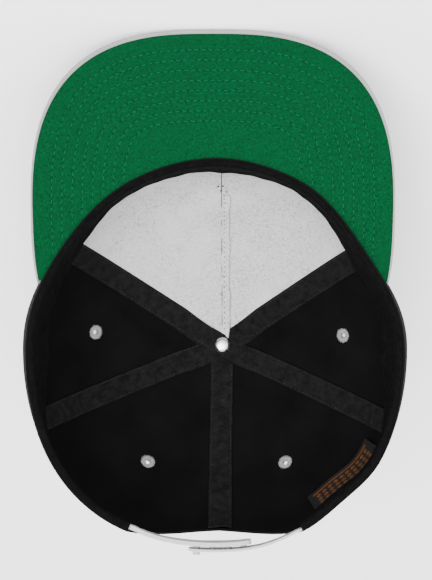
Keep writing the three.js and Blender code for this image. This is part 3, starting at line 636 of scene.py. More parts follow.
for side, name in ((1, "front_left_buckram"), (-1, "front_right_buckram")):
    near_seam = math.radians(SEAMS["front"])
    far_seam = math.radians(SEAMS["front_left"] if side > 0 else SEAMS["front_right"] - 360)
    middle = (near_seam + far_seam) / 2
    columns, rows = np.linspace(0, 1, BUCKRAM_COLUMNS + 1), np.linspace(*BUCKRAM_SPAN, BUCKRAM_ROWS + 1)
    piece, share, row = grid(name, columns, rows)
    along = panel_along(middle, row)
    clear = SEAM_GAP / crown_radius(middle, along)
    near = near_seam + side * clear / 2
    far = far_seam - side * clear
    azimuth = mix(near, far, share)
    shape(piece, cloth_point(azimuth, along, BUCKRAM_LAYER), weave_on_crown(azimuth, along, middle))
    finished(piece, white_buckram, [name], BUCKRAM_WALL)
    width, length, fill = BUCKRAM_CUT
    panel = name.replace("buckram", "panel")

# Front seam fold. The two raw edges of the front seam, pressed over to the wearer's left and caught down
# with a row of stitches, up to a bar tack below the sweatband.

FOLD_LAYER = 1.95
FOLD_WALL = 0.8
FOLD_WIDTH = 4.6
FOLD_LIFT = 0.9
FOLD_SPAN = (0.45, 0.985)
FOLD_ROWS = 90
FOLD_COLUMNS = 8

fold_seam = math.radians(SEAMS["front"])
piece, share, row = grid(
    "front_seam_fold", np.linspace(0, 1, FOLD_COLUMNS + 1), np.linspace(*FOLD_SPAN, FOLD_ROWS + 1)
)
along = panel_along(fold_seam, row)
wander = 0.25 * np.sin(along * 70) + 0.2 * np.sin(along * 31)
azimuth = fold_seam + (share * FOLD_WIDTH + wander) / crown_radius(fold_seam, along)
lifted = FOLD_LIFT * share**3 + 0.12 * np.sin(along * 55)
shape(piece, cloth_point(azimuth, along, FOLD_LAYER + lifted), weave_on_crown(azimuth, along, fold_seam))
finished(piece, white_buckram, ["front_seam_fold"], FOLD_WALL)

# Seam tapes. Charcoal cotton tape, about 13 mm wide, sewn down over the seams along both its edges. Two long
# tapes run right across the crown and cross at the button, and the back one is tucked under them.

TAPE_WIDTH = 12.8
TAPE_LAYER = 1.9
TAPE_WALL = 0.55
TAPE_CROSS_RISE = 0.6
TAPE_TUCK_RISE = -0.55
# How far from the button a tape starts and ends to rise or sink to its place at the crossing.
TAPE_RISING = (11, 24)
TAPE_STITCH_INSET = 1.1
TAPE_COLUMNS = 16
TAPE_ROWS = 110
BACK_TAPE_WALL = 0.5
BACK_TAPE_END = 0.955
TAPE_PUCKER = 0.26
TAPE_SEWN_IN = 0.3
TAPE_SEWN_WIDTH = 0.5
# Creases across a tape: how far apart, how each tape's own differ, and how they slant.
TAPE_CREASES = ((9.5, 1.3, 0.35), (6.2, 2.1, -0.5), (14, 0.7, 0.2))
# Share of a panel at which a tape starts: under the sweatband, and at the arch's edge for the back one.
TAPE_LOW = (0.05, 0.004)

charcoal_tape = woven(
    "charcoal_tape", grey(0.0006), grey(0.0135), rib=0.5, slant=1.57, relief=0.00024,
    patch=260, fuzz=900, mottle=0.4, **{"Specular IOR Level": 0.09}
)


def tape_place(azimuth, lean, along, offset):
    """Azimuth and along of a place on a tape, offset to one side of its middle line."""
    ahead = crown_radius(azimuth, along)
    bearing = azimuth + lean * (1 - smooth(ahead, 4, 30))
    aside = bearing + np.arctan2(offset, ahead)
    solved = along_at_radius(aside, np.hypot(ahead, offset))
    return aside, mix(along, solved, smooth(along, 0.5, 0.65))


def tape_puckers(run, offset, seed):
    """Uneven creases across a tape, drawn up between its stitches."""
    creases = sum(
        np.sin(run * TURN / pitch + seed * turn + offset * slant)
        for pitch, turn, slant in TAPE_CREASES
    )
    from_sewn = np.abs(offset) - TAPE_WIDTH / 2 + TAPE_STITCH_INSET
    sewn = np.exp(-((from_sewn / TAPE_SEWN_WIDTH) ** 2))
    return TAPE_PUCKER * np.clip(creases, -1, None) * (1 - smooth(np.abs(offset), 4, 6)) - TAPE_SEWN_IN * sewn


def half_tape(seam, lean, mirrored, rise, end):
    """Where the points of a tape lie, from the rim to the button or to its tucked end."""

    def place(run, offset):
        azimuth = math.radians(SEAMS[seam])
        along = mix(panel_along(azimuth, TAPE_LOW[seam == "back"]), end, run)
        aside, up = tape_place(azimuth, lean, along, -offset if mirrored else offset)
        raised = rise * (1 - smooth(crown_radius(azimuth, along), *TAPE_RISING))
        layer = TAPE_LAYER + raised + tape_puckers(along * SIDE_LENGTH, offset, 1 + azimuth)
        return aside, up, layer, along

    return place


# Columns: the seam that a tape starts at, the one that it ends at, and how far it is raised at the button.
LONG_TAPES = (("front_left", "rear_right", 0), ("front_right", "rear_left", TAPE_CROSS_RISE))
tape_columns = np.linspace(-TAPE_WIDTH / 2, TAPE_WIDTH / 2, TAPE_COLUMNS + 1)
for start, end, rise in LONG_TAPES:
    bend = (SEAMS[end] - SEAMS[start]) % 360 - 180
    lean = math.radians(bend / 2)
    halves = (half_tape(start, lean, False, rise, 1.0), half_tape(end, -lean, True, rise, 1.0))
    piece, run, offset = grid(f"{start}_to_{end}_tape", np.linspace(-1, 1, 2 * TAPE_ROWS + 1), tape_columns)
    first, second = (half(1 - np.abs(run), offset) for half in halves)
    here = [np.where(run < 0, one, two) for one, two in zip(first, second)]
    far = np.where(run < 0, -1, 1) * (1 - here[3]) * SIDE_LENGTH
    shape(piece, cloth_point(*here[:3]), np.stack([far, offset], axis=-1))
    finished(piece, charcoal_tape, [f"{start}_tape", f"{end}_tape"], TAPE_WALL)

back_half = half_tape("back", 0, False, TAPE_TUCK_RISE, BACK_TAPE_END)
piece, run, offset = grid("back_tape", np.linspace(0, 1, TAPE_ROWS), tape_columns)
aside, up, layer, along = back_half(run, offset)
shape(piece, cloth_point(aside, up, layer), np.stack([along * SIDE_LENGTH, offset], axis=-1))
finished(piece, charcoal_tape, ["back_tape"], BACK_TAPE_WALL)

# Label. Black damask with a bar and rows of small woven diamonds in orange, its lower edge caught under the
# sweatband inside the back left panel.

LABEL_AZIMUTH = 134.5
LABEL_WIDTH = 48
LABEL_HEIGHT = 32
LABEL_LOW = 26
LABEL_WALL = 0.6
LABEL_LEAN = 2.5
LABEL_LAYER = 1.75
LABEL_WAVE = 0.3
LABEL_REPEAT = 4.0
# Pairs of limits, in millimetres on the label: the field of diamonds, and the bar over it.
LABEL_FIELD = ((-20.0, 20.0), (4.0, 28.0))
LABEL_BAR = ((-21.0, 21.0), (28.8, 29.8))


def label_cloth():
    """Black damask: diamonds and a bar in orange weft on its own map, broken up by the warp."""
    material, tree, shader = blank("woven_label", Roughness=0.7, Specular_IOR_Level=0.2)
    where = tree.nodes.new("ShaderNodeTexCoord")
    place = wired(tree, "ShaderNodeSeparateXYZ", {0: where.outputs["UV"]})

    def maths(operation, *values):
        return wired(tree, "ShaderNodeMath", dict(enumerate(values)), operation=operation).outputs[0]

    def between(value, low, high):
        return maths("MULTIPLY", maths("GREATER_THAN", value, low), maths("LESS_THAN", value, high))

    def patch(limits):
        return maths("MULTIPLY", between(across, *limits[0]), between(up, *limits[1]))

    def from_repeat(value):
        return maths("ABSOLUTE", maths("SUBTRACT", maths("FRACT", maths("DIVIDE", value, LABEL_REPEAT)), 0.5))

    across, up = place.outputs[0], place.outputs[1]
    diamonds = between(maths("ADD", from_repeat(across), from_repeat(up)), 0.12, 0.4)
    pattern = maths("MAXIMUM", maths("MULTIPLY", diamonds, patch(LABEL_FIELD)), patch(LABEL_BAR))
    warp = waves(tree, where.outputs["UV"], WAVE / 0.5, 1.5)
    broken = maths("MULTIPLY", pattern, maths("GREATER_THAN", warp, 0.25))
    yarn = noise(tree, where.outputs["UV"], 2.2, 2)
    orange = blend(tree, yarn, (0.05, 0.016, 0.003, 1), (0.3, 0.1, 0.014, 1))
    surfaced(tree, shader, blend(tree, broken, grey(0.006), orange), maths("ADD", warp, broken), 0.0001)
    return material


label_middle = math.radians(LABEL_AZIMUTH)
label_half = LABEL_WIDTH / 2 / rim_radius(label_middle)
piece, across, up = grid("label", np.linspace(-1, 1, 41), np.linspace(0, LABEL_HEIGHT, 29))
azimuth = label_middle + across * label_half
along = along_at_depth(azimuth, LABEL_LOW + up)
share = up / LABEL_HEIGHT
lifted = LABEL_LEAN * share**2 + LABEL_WAVE * np.sin(across * 5) * share
weave = np.stack([across * LABEL_WIDTH / 2, up], axis=-1)
shape(piece, cloth_point(azimuth, along, LABEL_LAYER + lifted), weave)
finished(piece, label_cloth(), ["label"], LABEL_WALL)

# Sweatband. A band of black ribbed cotton, turned over the rim and hanging inside the crown, with six rows
# of stitching from its upper edge to its lower one. It leans inwards over the ears and ends at the arch.

SWEATBAND_LAYER = 3.3
SWEATBAND_WALL = 1.1
SWEATBAND_HEIGHT = 32
SWEATBAND_TOP = 0.15
SWEATBAND_LEAN_FRONT = 0.5
SWEATBAND_LEAN_SIDE = 9
SWEATBAND_LEAN_BACK = 0.2
SWEATBAND_LEAN_END = math.radians(120)
SWEATBAND_ROLL = 1.25
SWEATBAND_COLUMNS = 700
SWEATBAND_SEWN_AT = (3, 8.5, 14, 19.5, 25, 30)
SWEATBAND_SEWN_IN = 0.5
SWEATBAND_SEWN_WIDTH = 0.7
SWEATBAND_WAVE = 0.14
SWEATBAND_ROLL_DEPTH = 1.2

arch_left = azimuth_at_width(ARCH_HALF_WIDTH)
arch_right = azimuth_at_width(-ARCH_HALF_WIDTH) - TURN


def sweatband_layer(azimuth, depth):
    """How deep the band's back is, rolled out to the rim except over the ends of the strap."""
    share = depth / SWEATBAND_HEIGHT
    ahead = np.cos(azimuth)
    end = np.where(ahead > 0, 1, math.cos(SWEATBAND_LEAN_END))
    lean = mix(
        np.where(ahead > 0, SWEATBAND_LEAN_FRONT, SWEATBAND_LEAN_BACK), SWEATBAND_LEAN_SIDE,
        np.clip(1 - (ahead / end) ** 2, 0, None) ** 2,
    )
    rows = sum(np.exp(-(((depth - at) / SWEATBAND_SEWN_WIDTH) ** 2)) for at in SWEATBAND_SEWN_AT)
    run = azimuth * RIM_HALF_WIDTH
    wave = np.sin(run / 7.3) + np.sin(run / 4.1 + 1) + 0.9 * np.sin(run / 1.9 + 2 + depth / 3)
    loose = SWEATBAND_WAVE * wave * smooth(depth, 2, 10)
    round_roll = np.clip((depth - SWEATBAND_TOP) / SWEATBAND_ROLL_DEPTH, 0, 1)
    rolled = mix(SWEATBAND_ROLL, SWEATBAND_LAYER, np.sqrt(round_roll))
    return rolled + lean * share**1.5 - SWEATBAND_SEWN_IN * rows + loose


ribbed_cotton = woven(
    "ribbed_cotton", grey(0.0002), grey(0.0042), rib=0.9, slant=0.0, relief=0.00022,
    patch=330, fuzz=1000, mottle=0.5, **{"Specular IOR Level": 0.05}
)
on_roll = np.linspace(0, 1, 6) ** 2 * 3
hanging = np.linspace(4, SWEATBAND_HEIGHT - SWEATBAND_TOP, 40)
depths = np.concatenate([on_roll, hanging]) + SWEATBAND_TOP
piece, azimuth, depth = grid("sweatband", np.linspace(arch_right, arch_left, SWEATBAND_COLUMNS + 1), depths)
along = along_at_depth(azimuth, depth)
weave = np.stack([azimuth * RIM_HALF_WIDTH, depth], axis=-1)
shape(piece, cloth_point(azimuth, along, sweatband_layer(azimuth, depth)), weave)
finished(piece, ribbed_cotton, ["sweatband"], SWEATBAND_WALL)

# Straps. Two strips of light grey moulded plastic that close the arch. The one on the wearer's right has
# four mushroom pegs, which are pushed through four of the seven holes of the left one from the inside.

STRAP_WIDTH = 16
STRAP_WALL = 1.2
STRAP_EDGE = 1
STRAP_BOW = 3
STRAP_TUCK = 13
STRAP_OVERLAP = 32
STRAP_OVERLAP_MIDDLE = 2.5
STRAP_APART = 0.825
STRAP_LAYER = 1.65
STRAP_COLUMNS = 100
STRAP_SOFT_EDGE = 0.35
STRAP_CORNER = 4
STRAP_CORNER_SHARE = 0.8
SHARP = math.radians(50)
PEG_PITCH = 8
PEG_COUNT = 4
HOLE_COUNT = 7
HOLE_RADIUS = 1.9
HOLE_PUNCH_LENGTH = 6
PEG_RADIUS = 1.5
PEG_HEAD_RADIUS = 2.3
PEG_HEAD_HEIGHT = 0.35
PEG_NECK = 0.6
STRAP_RIM_WIDTH = 1.6
STRAP_RIM_HEIGHT = 1.0
STRAP_TUCK_LOWER = 1.2
STRAP_FREE = ARCH_HALF_WIDTH * math.sqrt(1 - ((STRAP_EDGE + STRAP_WIDTH) / ARCH_HEIGHT) ** 2)


def bent_round(points, side):
    """Wraps a strap that was modelled flat round the back of the cap: x along it, y deep, z outwards."""
    place, depth, out = np.moveaxis(points / MM, -1, 0)
    azimuth = math.pi - place / RIM_HALF_LENGTH
    along = along_at_depth(azimuth, depth)
    bow = STRAP_BOW * np.clip(1 - (place / STRAP_FREE) ** 2, 0, None)
    overlap = side * STRAP_OVERLAP_MIDDLE + STRAP_OVERLAP / 2
    spread = side * STRAP_APART * (1 - smooth(side * place, overlap, STRAP_FREE))
    push = bow + spread - STRAP_LAYER + out
    return laid(crown_point(azimuth, along) + crown_normal(azimuth, along) * push[..., None])


def strap_plastic():
    """Soft moulded plastic: a fine matt grain and faint flow streaks."""
    material, tree, shader = blank(
        "grey_plastic", Roughness=0.42, Specular_IOR_Level=0.45,
        Subsurface_Weight=0.15, Subsurface_Scale=0.001,
    )
    where = tree.nodes.new("ShaderNodeTexCoord")
    flow = noise(tree, where.outputs["Object"], 90, 3)
    grain = noise(tree, where.outputs["Object"], 2500, 1)
    gloss = wired(tree, "ShaderNodeMapRange", {0: flow, 3: 0.36, 4: 0.52})
    tree.links.new(gloss.outputs[0], shader.inputs["Roughness"])
    surfaced(tree, shader, blend(tree, flow, grey(0.34), grey(0.43)), grain, 0.00003)
    return material


grey_plastic = strap_plastic()
peg_first = STRAP_OVERLAP_MIDDLE - (PEG_COUNT - 1) * PEG_PITCH / 2
peg_depth = STRAP_EDGE + STRAP_WIDTH / 2
head_low = STRAP_WALL + PEG_NECK

for side, name in ((-1, "strap_with_pegs"), (1, "strap_with_holes")):
    tuck = side * (ARCH_HALF_WIDTH + STRAP_TUCK)
    tip = STRAP_OVERLAP_MIDDLE - side * STRAP_OVERLAP / 2
    piece, place, across = grid(name, np.linspace(tuck, tip, STRAP_COLUMNS + 1), np.linspace(-0.5, 0.5, 21))
    near_tip = np.clip(1 - np.abs(place - tip) / STRAP_CORNER, 0, 1)
    narrower = STRAP_CORNER * (1 - np.sqrt(1 - near_tip**2))
    depth = peg_depth + across * (STRAP_WIDTH - 2 * narrower * STRAP_CORNER_SHARE)
    tucked = smooth(np.abs(place), ARCH_HALF_WIDTH - 2, ARCH_HALF_WIDTH + 4)
    depth += STRAP_TUCK_LOWER * tucked * (0.5 - across)
    flat = np.stack([place, depth, np.zeros_like(place)], axis=-1) * MM
    shape(piece, flat, np.stack([place, depth], axis=-1))
    face_away(piece, Vector((0, 0, -1)))
    apply(piece, "SOLIDIFY", thickness=STRAP_WALL * MM, offset=-1)
    pick(piece)
    for face in piece.data.polygons:
        middle = face.center / MM
        from_side = STRAP_WIDTH / 2 - abs(middle.y - peg_depth)
        on_rim = min(from_side, abs(middle.x - tip)) < STRAP_RIM_WIDTH and abs(middle.x) < ARCH_HALF_WIDTH
        face.select = on_rim and face.normal.z * side > 0.9
    bpy.ops.object.mode_set(mode="EDIT")
    bpy.ops.mesh.extrude_region_move(TRANSFORM_OT_translate={"value": (0, 0, side * STRAP_RIM_HEIGHT * MM)})
    bpy.ops.object.mode_set(mode="OBJECT")
    if side > 0:
        for k in range(HOLE_COUNT):
            deselect()
            bpy.ops.mesh.primitive_cylinder_add(
                vertices=28, radius=HOLE_RADIUS * MM, depth=HOLE_PUNCH_LENGTH * MM,
                location=((peg_first + k * PEG_PITCH) * MM, peg_depth * MM, 0),
            )
            punch = bpy.context.object
            apply(piece, "BOOLEAN", operation="DIFFERENCE", solver="EXACT", object=punch)
            bpy.data.objects.remove(punch)
    apply(piece, "BEVEL", width=STRAP_SOFT_EDGE * MM, segments=3, limit_method="ANGLE", angle_limit=SHARP)
    parts = [piece]
    if side < 0:
        for k in range(PEG_COUNT):
            spot = ((peg_first + k * PEG_PITCH) * MM, peg_depth * MM)
            for radius, low, high, soft in (
                (PEG_RADIUS, -STRAP_WALL / 2, head_low, 0.1),
                (PEG_HEAD_RADIUS, head_low, head_low + PEG_HEAD_HEIGHT, 0.32),
            ):
                deselect()
                bpy.ops.mesh.primitive_cylinder_add(
                    vertices=28, radius=radius * MM, depth=(high - low) * MM,
                    location=(*spot, (low + high) / 2 * MM),
                )
                peg = bpy.context.object
                bpy.ops.object.transform_apply(location=True, rotation=False, scale=False)
                apply(peg, "BEVEL", width=soft * MM, segments=4, limit_method="ANGLE", angle_limit=SHARP)
                parts.append(peg)
    pick(*parts)
    if len(parts) > 1:
        bpy.ops.object.join()
    flat = np.array([vertex.co for vertex in piece.data.vertices])
    piece.data.vertices.foreach_set("co", bent_round(flat, side).ravel())
    pick(piece)
    bpy.ops.object.mode_set(mode="EDIT")
    bpy.ops.mesh.select_all(action="SELECT")
    bpy.ops.mesh.normals_make_consistent(inside=False)
    bpy.ops.object.mode_set(mode="OBJECT")
    finished(piece, grey_plastic, [name])

# Peak. A stiff curved board in light grey twill, whose edge is rolled over as a lip round the green lining
# of its underside. Eight rows of stitching go right through, each following the outline.

PEAK_HALF_WIDTH = 93.2
PEAK_HALF_LENGTH = 92.5
PEAK_OFFSET = -1.2
PEAK_MIDDLE = 73
PEAK_SQUARENESS = 2.73
PEAK_TIP_AZIMUTH = math.radians(69)
PEAK_DIP = math.radians(5)
PEAK_LEVEL = 1
PEAK_TOP_LEVEL = 4.4
PEAK_INSIDE_LEVEL = 2.5
PEAK_LINING_REACH = 0.985
PEAK_LINING_TUCK = 0.45
PEAK_LIP = 2.4
PEAK_LIP_AT_TIP = 1.2
PEAK_LIP_NARROWING = 8
PEAK_LIP_LARGEST_SHARE = 0.6
PEAK_COLUMNS = 200
PEAK_ROW_FIRST = 10.5
PEAK_ROW_PITCH = 5.2
PEAK_ROW_COUNT = 8
PEAK_STITCH = 3.6
PEAK_STITCH_LENGTH = 2.5
PEAK_STITCH_SUNK = 0.2
PEAK_QUILTED_IN = 0.3
PEAK_QUILT_WIDTH = 0.75
PEAK_ROLL_RADIUS = 1.25
PEAK_LINING_WALL = 0.9
PEAK_LINING_CUT = (0.186, 0.13, 0.55)
POINTS_AT_ONCE = 2000


def peak_outline(angle):
    across, ahead = np.sin(angle), np.cos(angle)
    x = PEAK_HALF_WIDTH * np.sign(across) * np.abs(across) ** (2 / PEAK_SQUARENESS)
    y = PEAK_HALF_LENGTH * np.sign(ahead) * np.abs(ahead) ** (2 / PEAK_SQUARENESS)
    return np.stack([PEAK_OFFSET + x, PEAK_MIDDLE + y, np.zeros_like(x)], axis=-1)


def peak_end(side):
    """Angle at which the outline ends, level with the end of the peak's root on its side."""
    angles = np.linspace(0, math.pi, 20001)
    tip_line = rim_radius(side * PEAK_TIP_AZIMUTH) * math.cos(PEAK_TIP_AZIMUTH)
    return float(np.interp(-tip_line, -peak_outline(angles)[:, 1], angles))


PEAK_END_LEFT, PEAK_END_RIGHT = peak_end(1), peak_end(-1)


def peak_point(t, out, level):
    """A point of the peak: t runs from its right tip to its left, and out from the crown to the edge."""
    t, out, level = np.broadcast_arrays(*(np.asarray(v, float) for v in (t, out, level)))
    azimuth = t * PEAK_TIP_AZIMUTH
    root = crown_point(azimuth, along_at_depth(azimuth, level))
    root[..., 0] += SEAM_GAP * np.sin(azimuth)
    root[..., 1] += SEAM_GAP * np.cos(azimuth)
    root[..., 2] = 0
    point = mix(root, peak_outline(t * np.where(t > 0, PEAK_END_LEFT, PEAK_END_RIGHT)), out[..., None])
    arch = RIM_RISE * np.maximum(0, 1 - (point[..., 0] / RIM_HALF_WIDTH) ** 2)
    reach = np.linalg.norm(point[..., :2] - root[..., :2], axis=-1)
    point[..., 2] = math.tan(PEAK_DIP) * reach - arch - level
    return point


def peak_width(t):
    return np.linalg.norm(peak_point(t, 0, 0) - peak_point(t, 1, 0), axis=-1)


def lip_width(t):
    """Width of the cover's lip, less where the tips are narrow."""
    lip = mix(PEAK_LIP, PEAK_LIP_AT_TIP, np.abs(t) ** PEAK_LIP_NARROWING)
    return np.minimum(lip, PEAK_LIP_LARGEST_SHARE * peak_width(t))


EDGE_LINE = peak_outline(np.linspace(-PEAK_END_RIGHT, PEAK_END_LEFT, 1200))[:, :2]


def from_edge(points):
    """How far points of the peak are from its outer edge, in plan."""
    flat = points.reshape(-1, 3)[:, :2]
    near = []
    for part in np.array_split(flat, 1 + len(flat) // POINTS_AT_ONCE):
        near.append(np.hypot(*(part[:, None] - EDGE_LINE[None]).transpose(2, 0, 1)).min(1))
    return np.concatenate(near).reshape(points.shape[:-1])


def quilting(points):
    """How far the stitches draw the cloth in at points of the peak."""
    away = from_edge(points)
    rows = PEAK_ROW_FIRST + PEAK_ROW_PITCH * np.arange(PEAK_ROW_COUNT)
    return PEAK_QUILTED_IN * sum(np.exp(-(((away - row) / PEAK_QUILT_WIDTH) ** 2)) for row in rows)


grey_twill = woven("grey_twill", grey(0.19), grey(0.3), rib=0.55, patch=60, mottle=0.35)
green_twill = woven(
    "green_twill", (0.0001, 0.013, 0.004, 1), (0.0003, 0.066, 0.0192, 1), rib=0.6,
    patch=900, fuzz=1400, mottle=0.4, **{"Specular IOR Level": 0.06}
)

# The cover's cross-section, closed: columns are distance from the edge, level, and whether the distance
# is a share of the peak's whole width instead.
roll_middle = (PEAK_TOP_LEVEL + PEAK_LEVEL) / 2
roll_half = (PEAK_TOP_LEVEL - PEAK_LEVEL) / 2
roll = [
    (PEAK_ROLL_RADIUS * (1 - math.cos(turn)), roll_middle - roll_half * math.sin(turn), False)
    for turn in np.linspace(-math.pi / 2, math.pi / 2, 13)
]
section = [(share, PEAK_TOP_LEVEL, True) for share in np.linspace(1, 0.04, 90)]
section += roll
section += [(1.8, PEAK_LEVEL - 0.05, False), (PEAK_LIP - 0.2, PEAK_LEVEL + 0.1, False)]
section += [(PEAK_LIP, PEAK_LEVEL + 0.4, False), (PEAK_LIP, PEAK_INSIDE_LEVEL, False)]
section += [(share, PEAK_INSIDE_LEVEL, True) for share in (0.1, 0.4, 0.7, 1)]
section += section[:1]
piece, place, t = grid("peak_top", np.arange(len(section)), np.linspace(-1, 1, PEAK_COLUMNS + 1))
away, level, shared = (np.array(column, float)[place.astype(int)] for column in zip(*section))
wide = peak_width(t)
narrow = lip_width(t) / PEAK_LIP
out = 1 - np.where(shared > 0, away, np.minimum(away * narrow / wide, 1))
inner = (shared > 0) & (level < PEAK_TOP_LEVEL)
out = np.where(inner, np.minimum(out, 1 - PEAK_LIP * narrow / wide), out)
on_top = (shared > 0) & (level == PEAK_TOP_LEVEL)
out = np.where(on_top, np.minimum(out, 1 - PEAK_ROLL_RADIUS * narrow / wide), out)
points = peak_point(t, out, level)
points[:, 2] += np.where(on_top, quilting(points), 0)
shape(piece, laid(points), points[:, :2])
pick(piece)
bpy.ops.object.mode_set(mode="EDIT")
bpy.ops.mesh.select_all(action="SELECT")
bpy.ops.mesh.remove_doubles(threshold=0.00001)
bpy.ops.mesh.select_all(action="DESELECT")
bpy.ops.mesh.select_non_manifold(
    extend=False, use_wire=False, use_multi_face=False, use_non_contiguous=False, use_verts=False
)
bpy.ops.mesh.edge_face_add()
bpy.ops.mesh.select_all(action="SELECT")
bpy.ops.mesh.normals_make_consistent(inside=False)
bpy.ops.object.mode_set(mode="OBJECT")
finished(piece, grey_twill, ["peak_top"])

piece, t, share = grid("peak_underside", np.linspace(-1, 1, PEAK_COLUMNS + 1), np.linspace(0, 1, 121))
t = np.clip(t, -PEAK_LINING_REACH, PEAK_LINING_REACH)
wide = peak_width(t)
edge = 1 - (lip_width(t) - 0.1) / wide
points = peak_point(t, mix(-PEAK_LINING_TUCK / wide, edge, share), PEAK_LEVEL)
tucked = smooth(share * edge * wide, edge * wide - 1.2, edge * wide)
points[:, 2] -= quilting(points) + 0.5 * tucked
shape(piece, laid(points), points[:, :2])
if piece.data.polygons[0].normal.dot(Vector(turned_down((0, 0, 1)))) < 0:
    piece.data.flip_normals()
apply(piece, "SOLIDIFY", thickness=PEAK_LINING_WALL * MM, offset=-1)
finished(piece, green_twill, ["peak_underside"])
width, length, fill = PEAK_LINING_CUT


def peak_row(distance):
    """A row of stitches: places t and out where the peak is this far from its edge."""
    t = np.linspace(-0.95, 0.95, 601)
    low, high = np.zeros_like(t), np.ones_like(t)
    for _ in range(18):
        middle = (low + high) / 2
        far = from_edge(peak_point(t, middle, PEAK_LEVEL)) > distance
        low, high = np.where(far, middle, low), np.where(far, high, middle)
    inside = from_edge(peak_point(t, 0, PEAK_LEVEL)) > distance + 0.5
    return t[inside], low[inside]


def spaced(points, pitch):
    """Even places along a line of points: their middles, their runs and where they fall, as row numbers."""
    steps = np.linalg.norm(np.diff(points, axis=0), axis=1)
    run = np.concatenate([[0], np.cumsum(steps)])
    at = np.arange(pitch / 2, run[-1], pitch)
    rows = np.interp(at, run, np.arange(len(points)))
    ahead = np.stack([np.interp(at + pitch * 0.2, run, column) for column in points.T], axis=-1)
    behind = np.stack([np.interp(at - pitch * 0.2, run, column) for column in points.T], axis=-1)
    return (ahead + behind) / 2, ahead - behind, rows


green_thread = spun_thread(
    "green_thread", (0.0002, 0.046, 0.021, 1), (0.0006, 0.098, 0.048, 1), **{"Specular IOR Level": 0.15}
)
# Painted shade: darker green and grey spots at the needle holes between the peak's stitches stand for the
# shade in the holes.
green_hole_shade = spun_thread(
    "green_needle_hole_shade", (0.0001, 0.02, 0.008, 1), (0.0003, 0.04, 0.016, 1), **{"Specular IOR Level": 0.0}
)
grey_hole_shade = spun_thread("grey_needle_hole_shade", grey(0.06), grey(0.105), **{"Specular IOR Level": 0.0})

# Columns: name, level, side of the peak, slot, thread, and the painted shade at its needle holes.
for name, level, face, slot, thread, hole_shade in (
    ("peak_stitches_below", PEAK_LEVEL, 1, "peak_underlay", green_thread, green_hole_shade),
    ("peak_stitches_above", PEAK_TOP_LEVEL, -1, "peak_cover", grey_thread, grey_hole_shade),
):
    centres, runs, ups = [], [], []
    for k in range(PEAK_ROW_COUNT):
        t, out = peak_row(PEAK_ROW_FIRST + k * PEAK_ROW_PITCH)
        line = peak_point(t, out, level)
        line[:, 2] -= face * PEAK_STITCH_SUNK
        middles, along_row, _ = spaced(laid(line), PEAK_STITCH * MM)
        centres.append(middles)
        runs.append(along_row)
        ups.append(np.tile(turned_down((0, 0, face)), (len(middles), 1)))
    centres, runs, ups = (np.concatenate(part) for part in (centres, runs, ups))
    threads(name, centres, runs, ups, PEAK_STITCH_LENGTH, 0.4, thread, slot)
    # Dark spots between the stitches, at the needle holes: painted shade in the holes.
    holes = centres + runs / np.linalg.norm(runs, axis=1, keepdims=True) * PEAK_STITCH / 2 * MM
    threads(f"{name}_holes", holes, runs, ups, 0.9, 0.5, hole_shade, slot)

# Button and rivet. A domed button covered in the peak's grey twill on top of the crown, held from the
# inside by the bright steel cap of its rivet.

BUTTON_RADIUS = 7.5
BUTTON_HEIGHT = 5
BUTTON_SQUARENESS = 2.5
RIVET_RADIUS = 4.6
RIVET_HEIGHT = 2.2
RIVET_LAYER = 3.7
RIVET_SQUARENESS = 2.2


def dome(name, radius, height, squareness):
    """Half a ball, made flatter on top and steeper at its rim, with its base closed."""
    deselect()
    bpy.ops.mesh.primitive_uv_sphere_add(segments=64, ring_count=48, radius=1)
    piece = bpy.context.object
    piece.name = piece.data.name = name
    bpy.ops.object.mode_set(mode="EDIT")
    bpy.ops.mesh.select_all(action="SELECT")
    bpy.ops.mesh.bisect(plane_co=(0, 0, 0), plane_no=(0, 0, 1), use_fill=True, clear_inner=True)
    bpy.ops.object.mode_set(mode="OBJECT")
    for vertex in piece.data.vertices:
        out = math.hypot(vertex.co.x, vertex.co.y)
        rise = max(0.0, 1 - min(1.0, out) ** squareness) ** (1 / squareness)
        rise = rise if vertex.co.z > 1e-5 else 0
        vertex.co = (vertex.co.x * radius * MM, vertex.co.y * radius * MM, rise * height * MM)
    return piece


def bright_steel():
    """Pressed and plated steel: polished, with fine scratches and a few dull marks."""
    material, tree, shader = blank("bright_steel", Metallic=1, Roughness=0.22)
    where = tree.nodes.new("ShaderNodeTexCoord")
    marks = noise(tree, where.outputs["Object"], 700, 4)
    gloss = wired(tree, "ShaderNodeMapRange", {0: marks, 1: 0.3, 2: 0.7, 3: 0.16, 4: 0.4})
    tree.links.new(gloss.outputs[0], shader.inputs["Roughness"])
    surfaced(tree, shader, blend(tree, marks, grey(0.55), (0.8, 0.81, 0.82, 1)), marks, 0.00004)
    return material


button = dome("button", BUTTON_RADIUS, BUTTON_HEIGHT, BUTTON_SQUARENESS)
stood_on(button, laid((BUTTON_SHIFT, 0, -CROWN_HEIGHT - SEAM_GAP)), turned_down((0, 0, -1)))
finished(button, grey_twill, ["button"])

rivet = dome("button_rivet", RIVET_RADIUS, RIVET_HEIGHT, RIVET_SQUARENESS)
stood_on(rivet, laid((BUTTON_SHIFT, 0, -CROWN_HEIGHT + RIVET_LAYER)), turned_down((0, 0, 1)))
finished(rivet, bright_steel(), ["button_rivet"])

# Crown stitching. Black thread in two rows along each tape and beside the front seam, right through the
# panels, and in rows along the sweatband. White-grey thread holds down the fold of the front seam.

THREAD_THICKNESS = 0.36
CROWN_STITCH = 2.6
CROWN_STITCH_LENGTH = 2.0
CROWN_STITCH_OUT = 0.02
TAPE_STITCH_SUNK = 0.12
SWEATBAND_STITCH = 2.4
SWEATBAND_STITCH_SUNK = 0.05
FRONT_ROWS_AT = (-3, 3)
CROWN_ROW_SPAN = (0.04, 0.95)
FOLD_SEWN_AT = 1.3
FOLD_STITCH = 3.0
FOLD_ROW_SPAN = (0.44, 0.95)
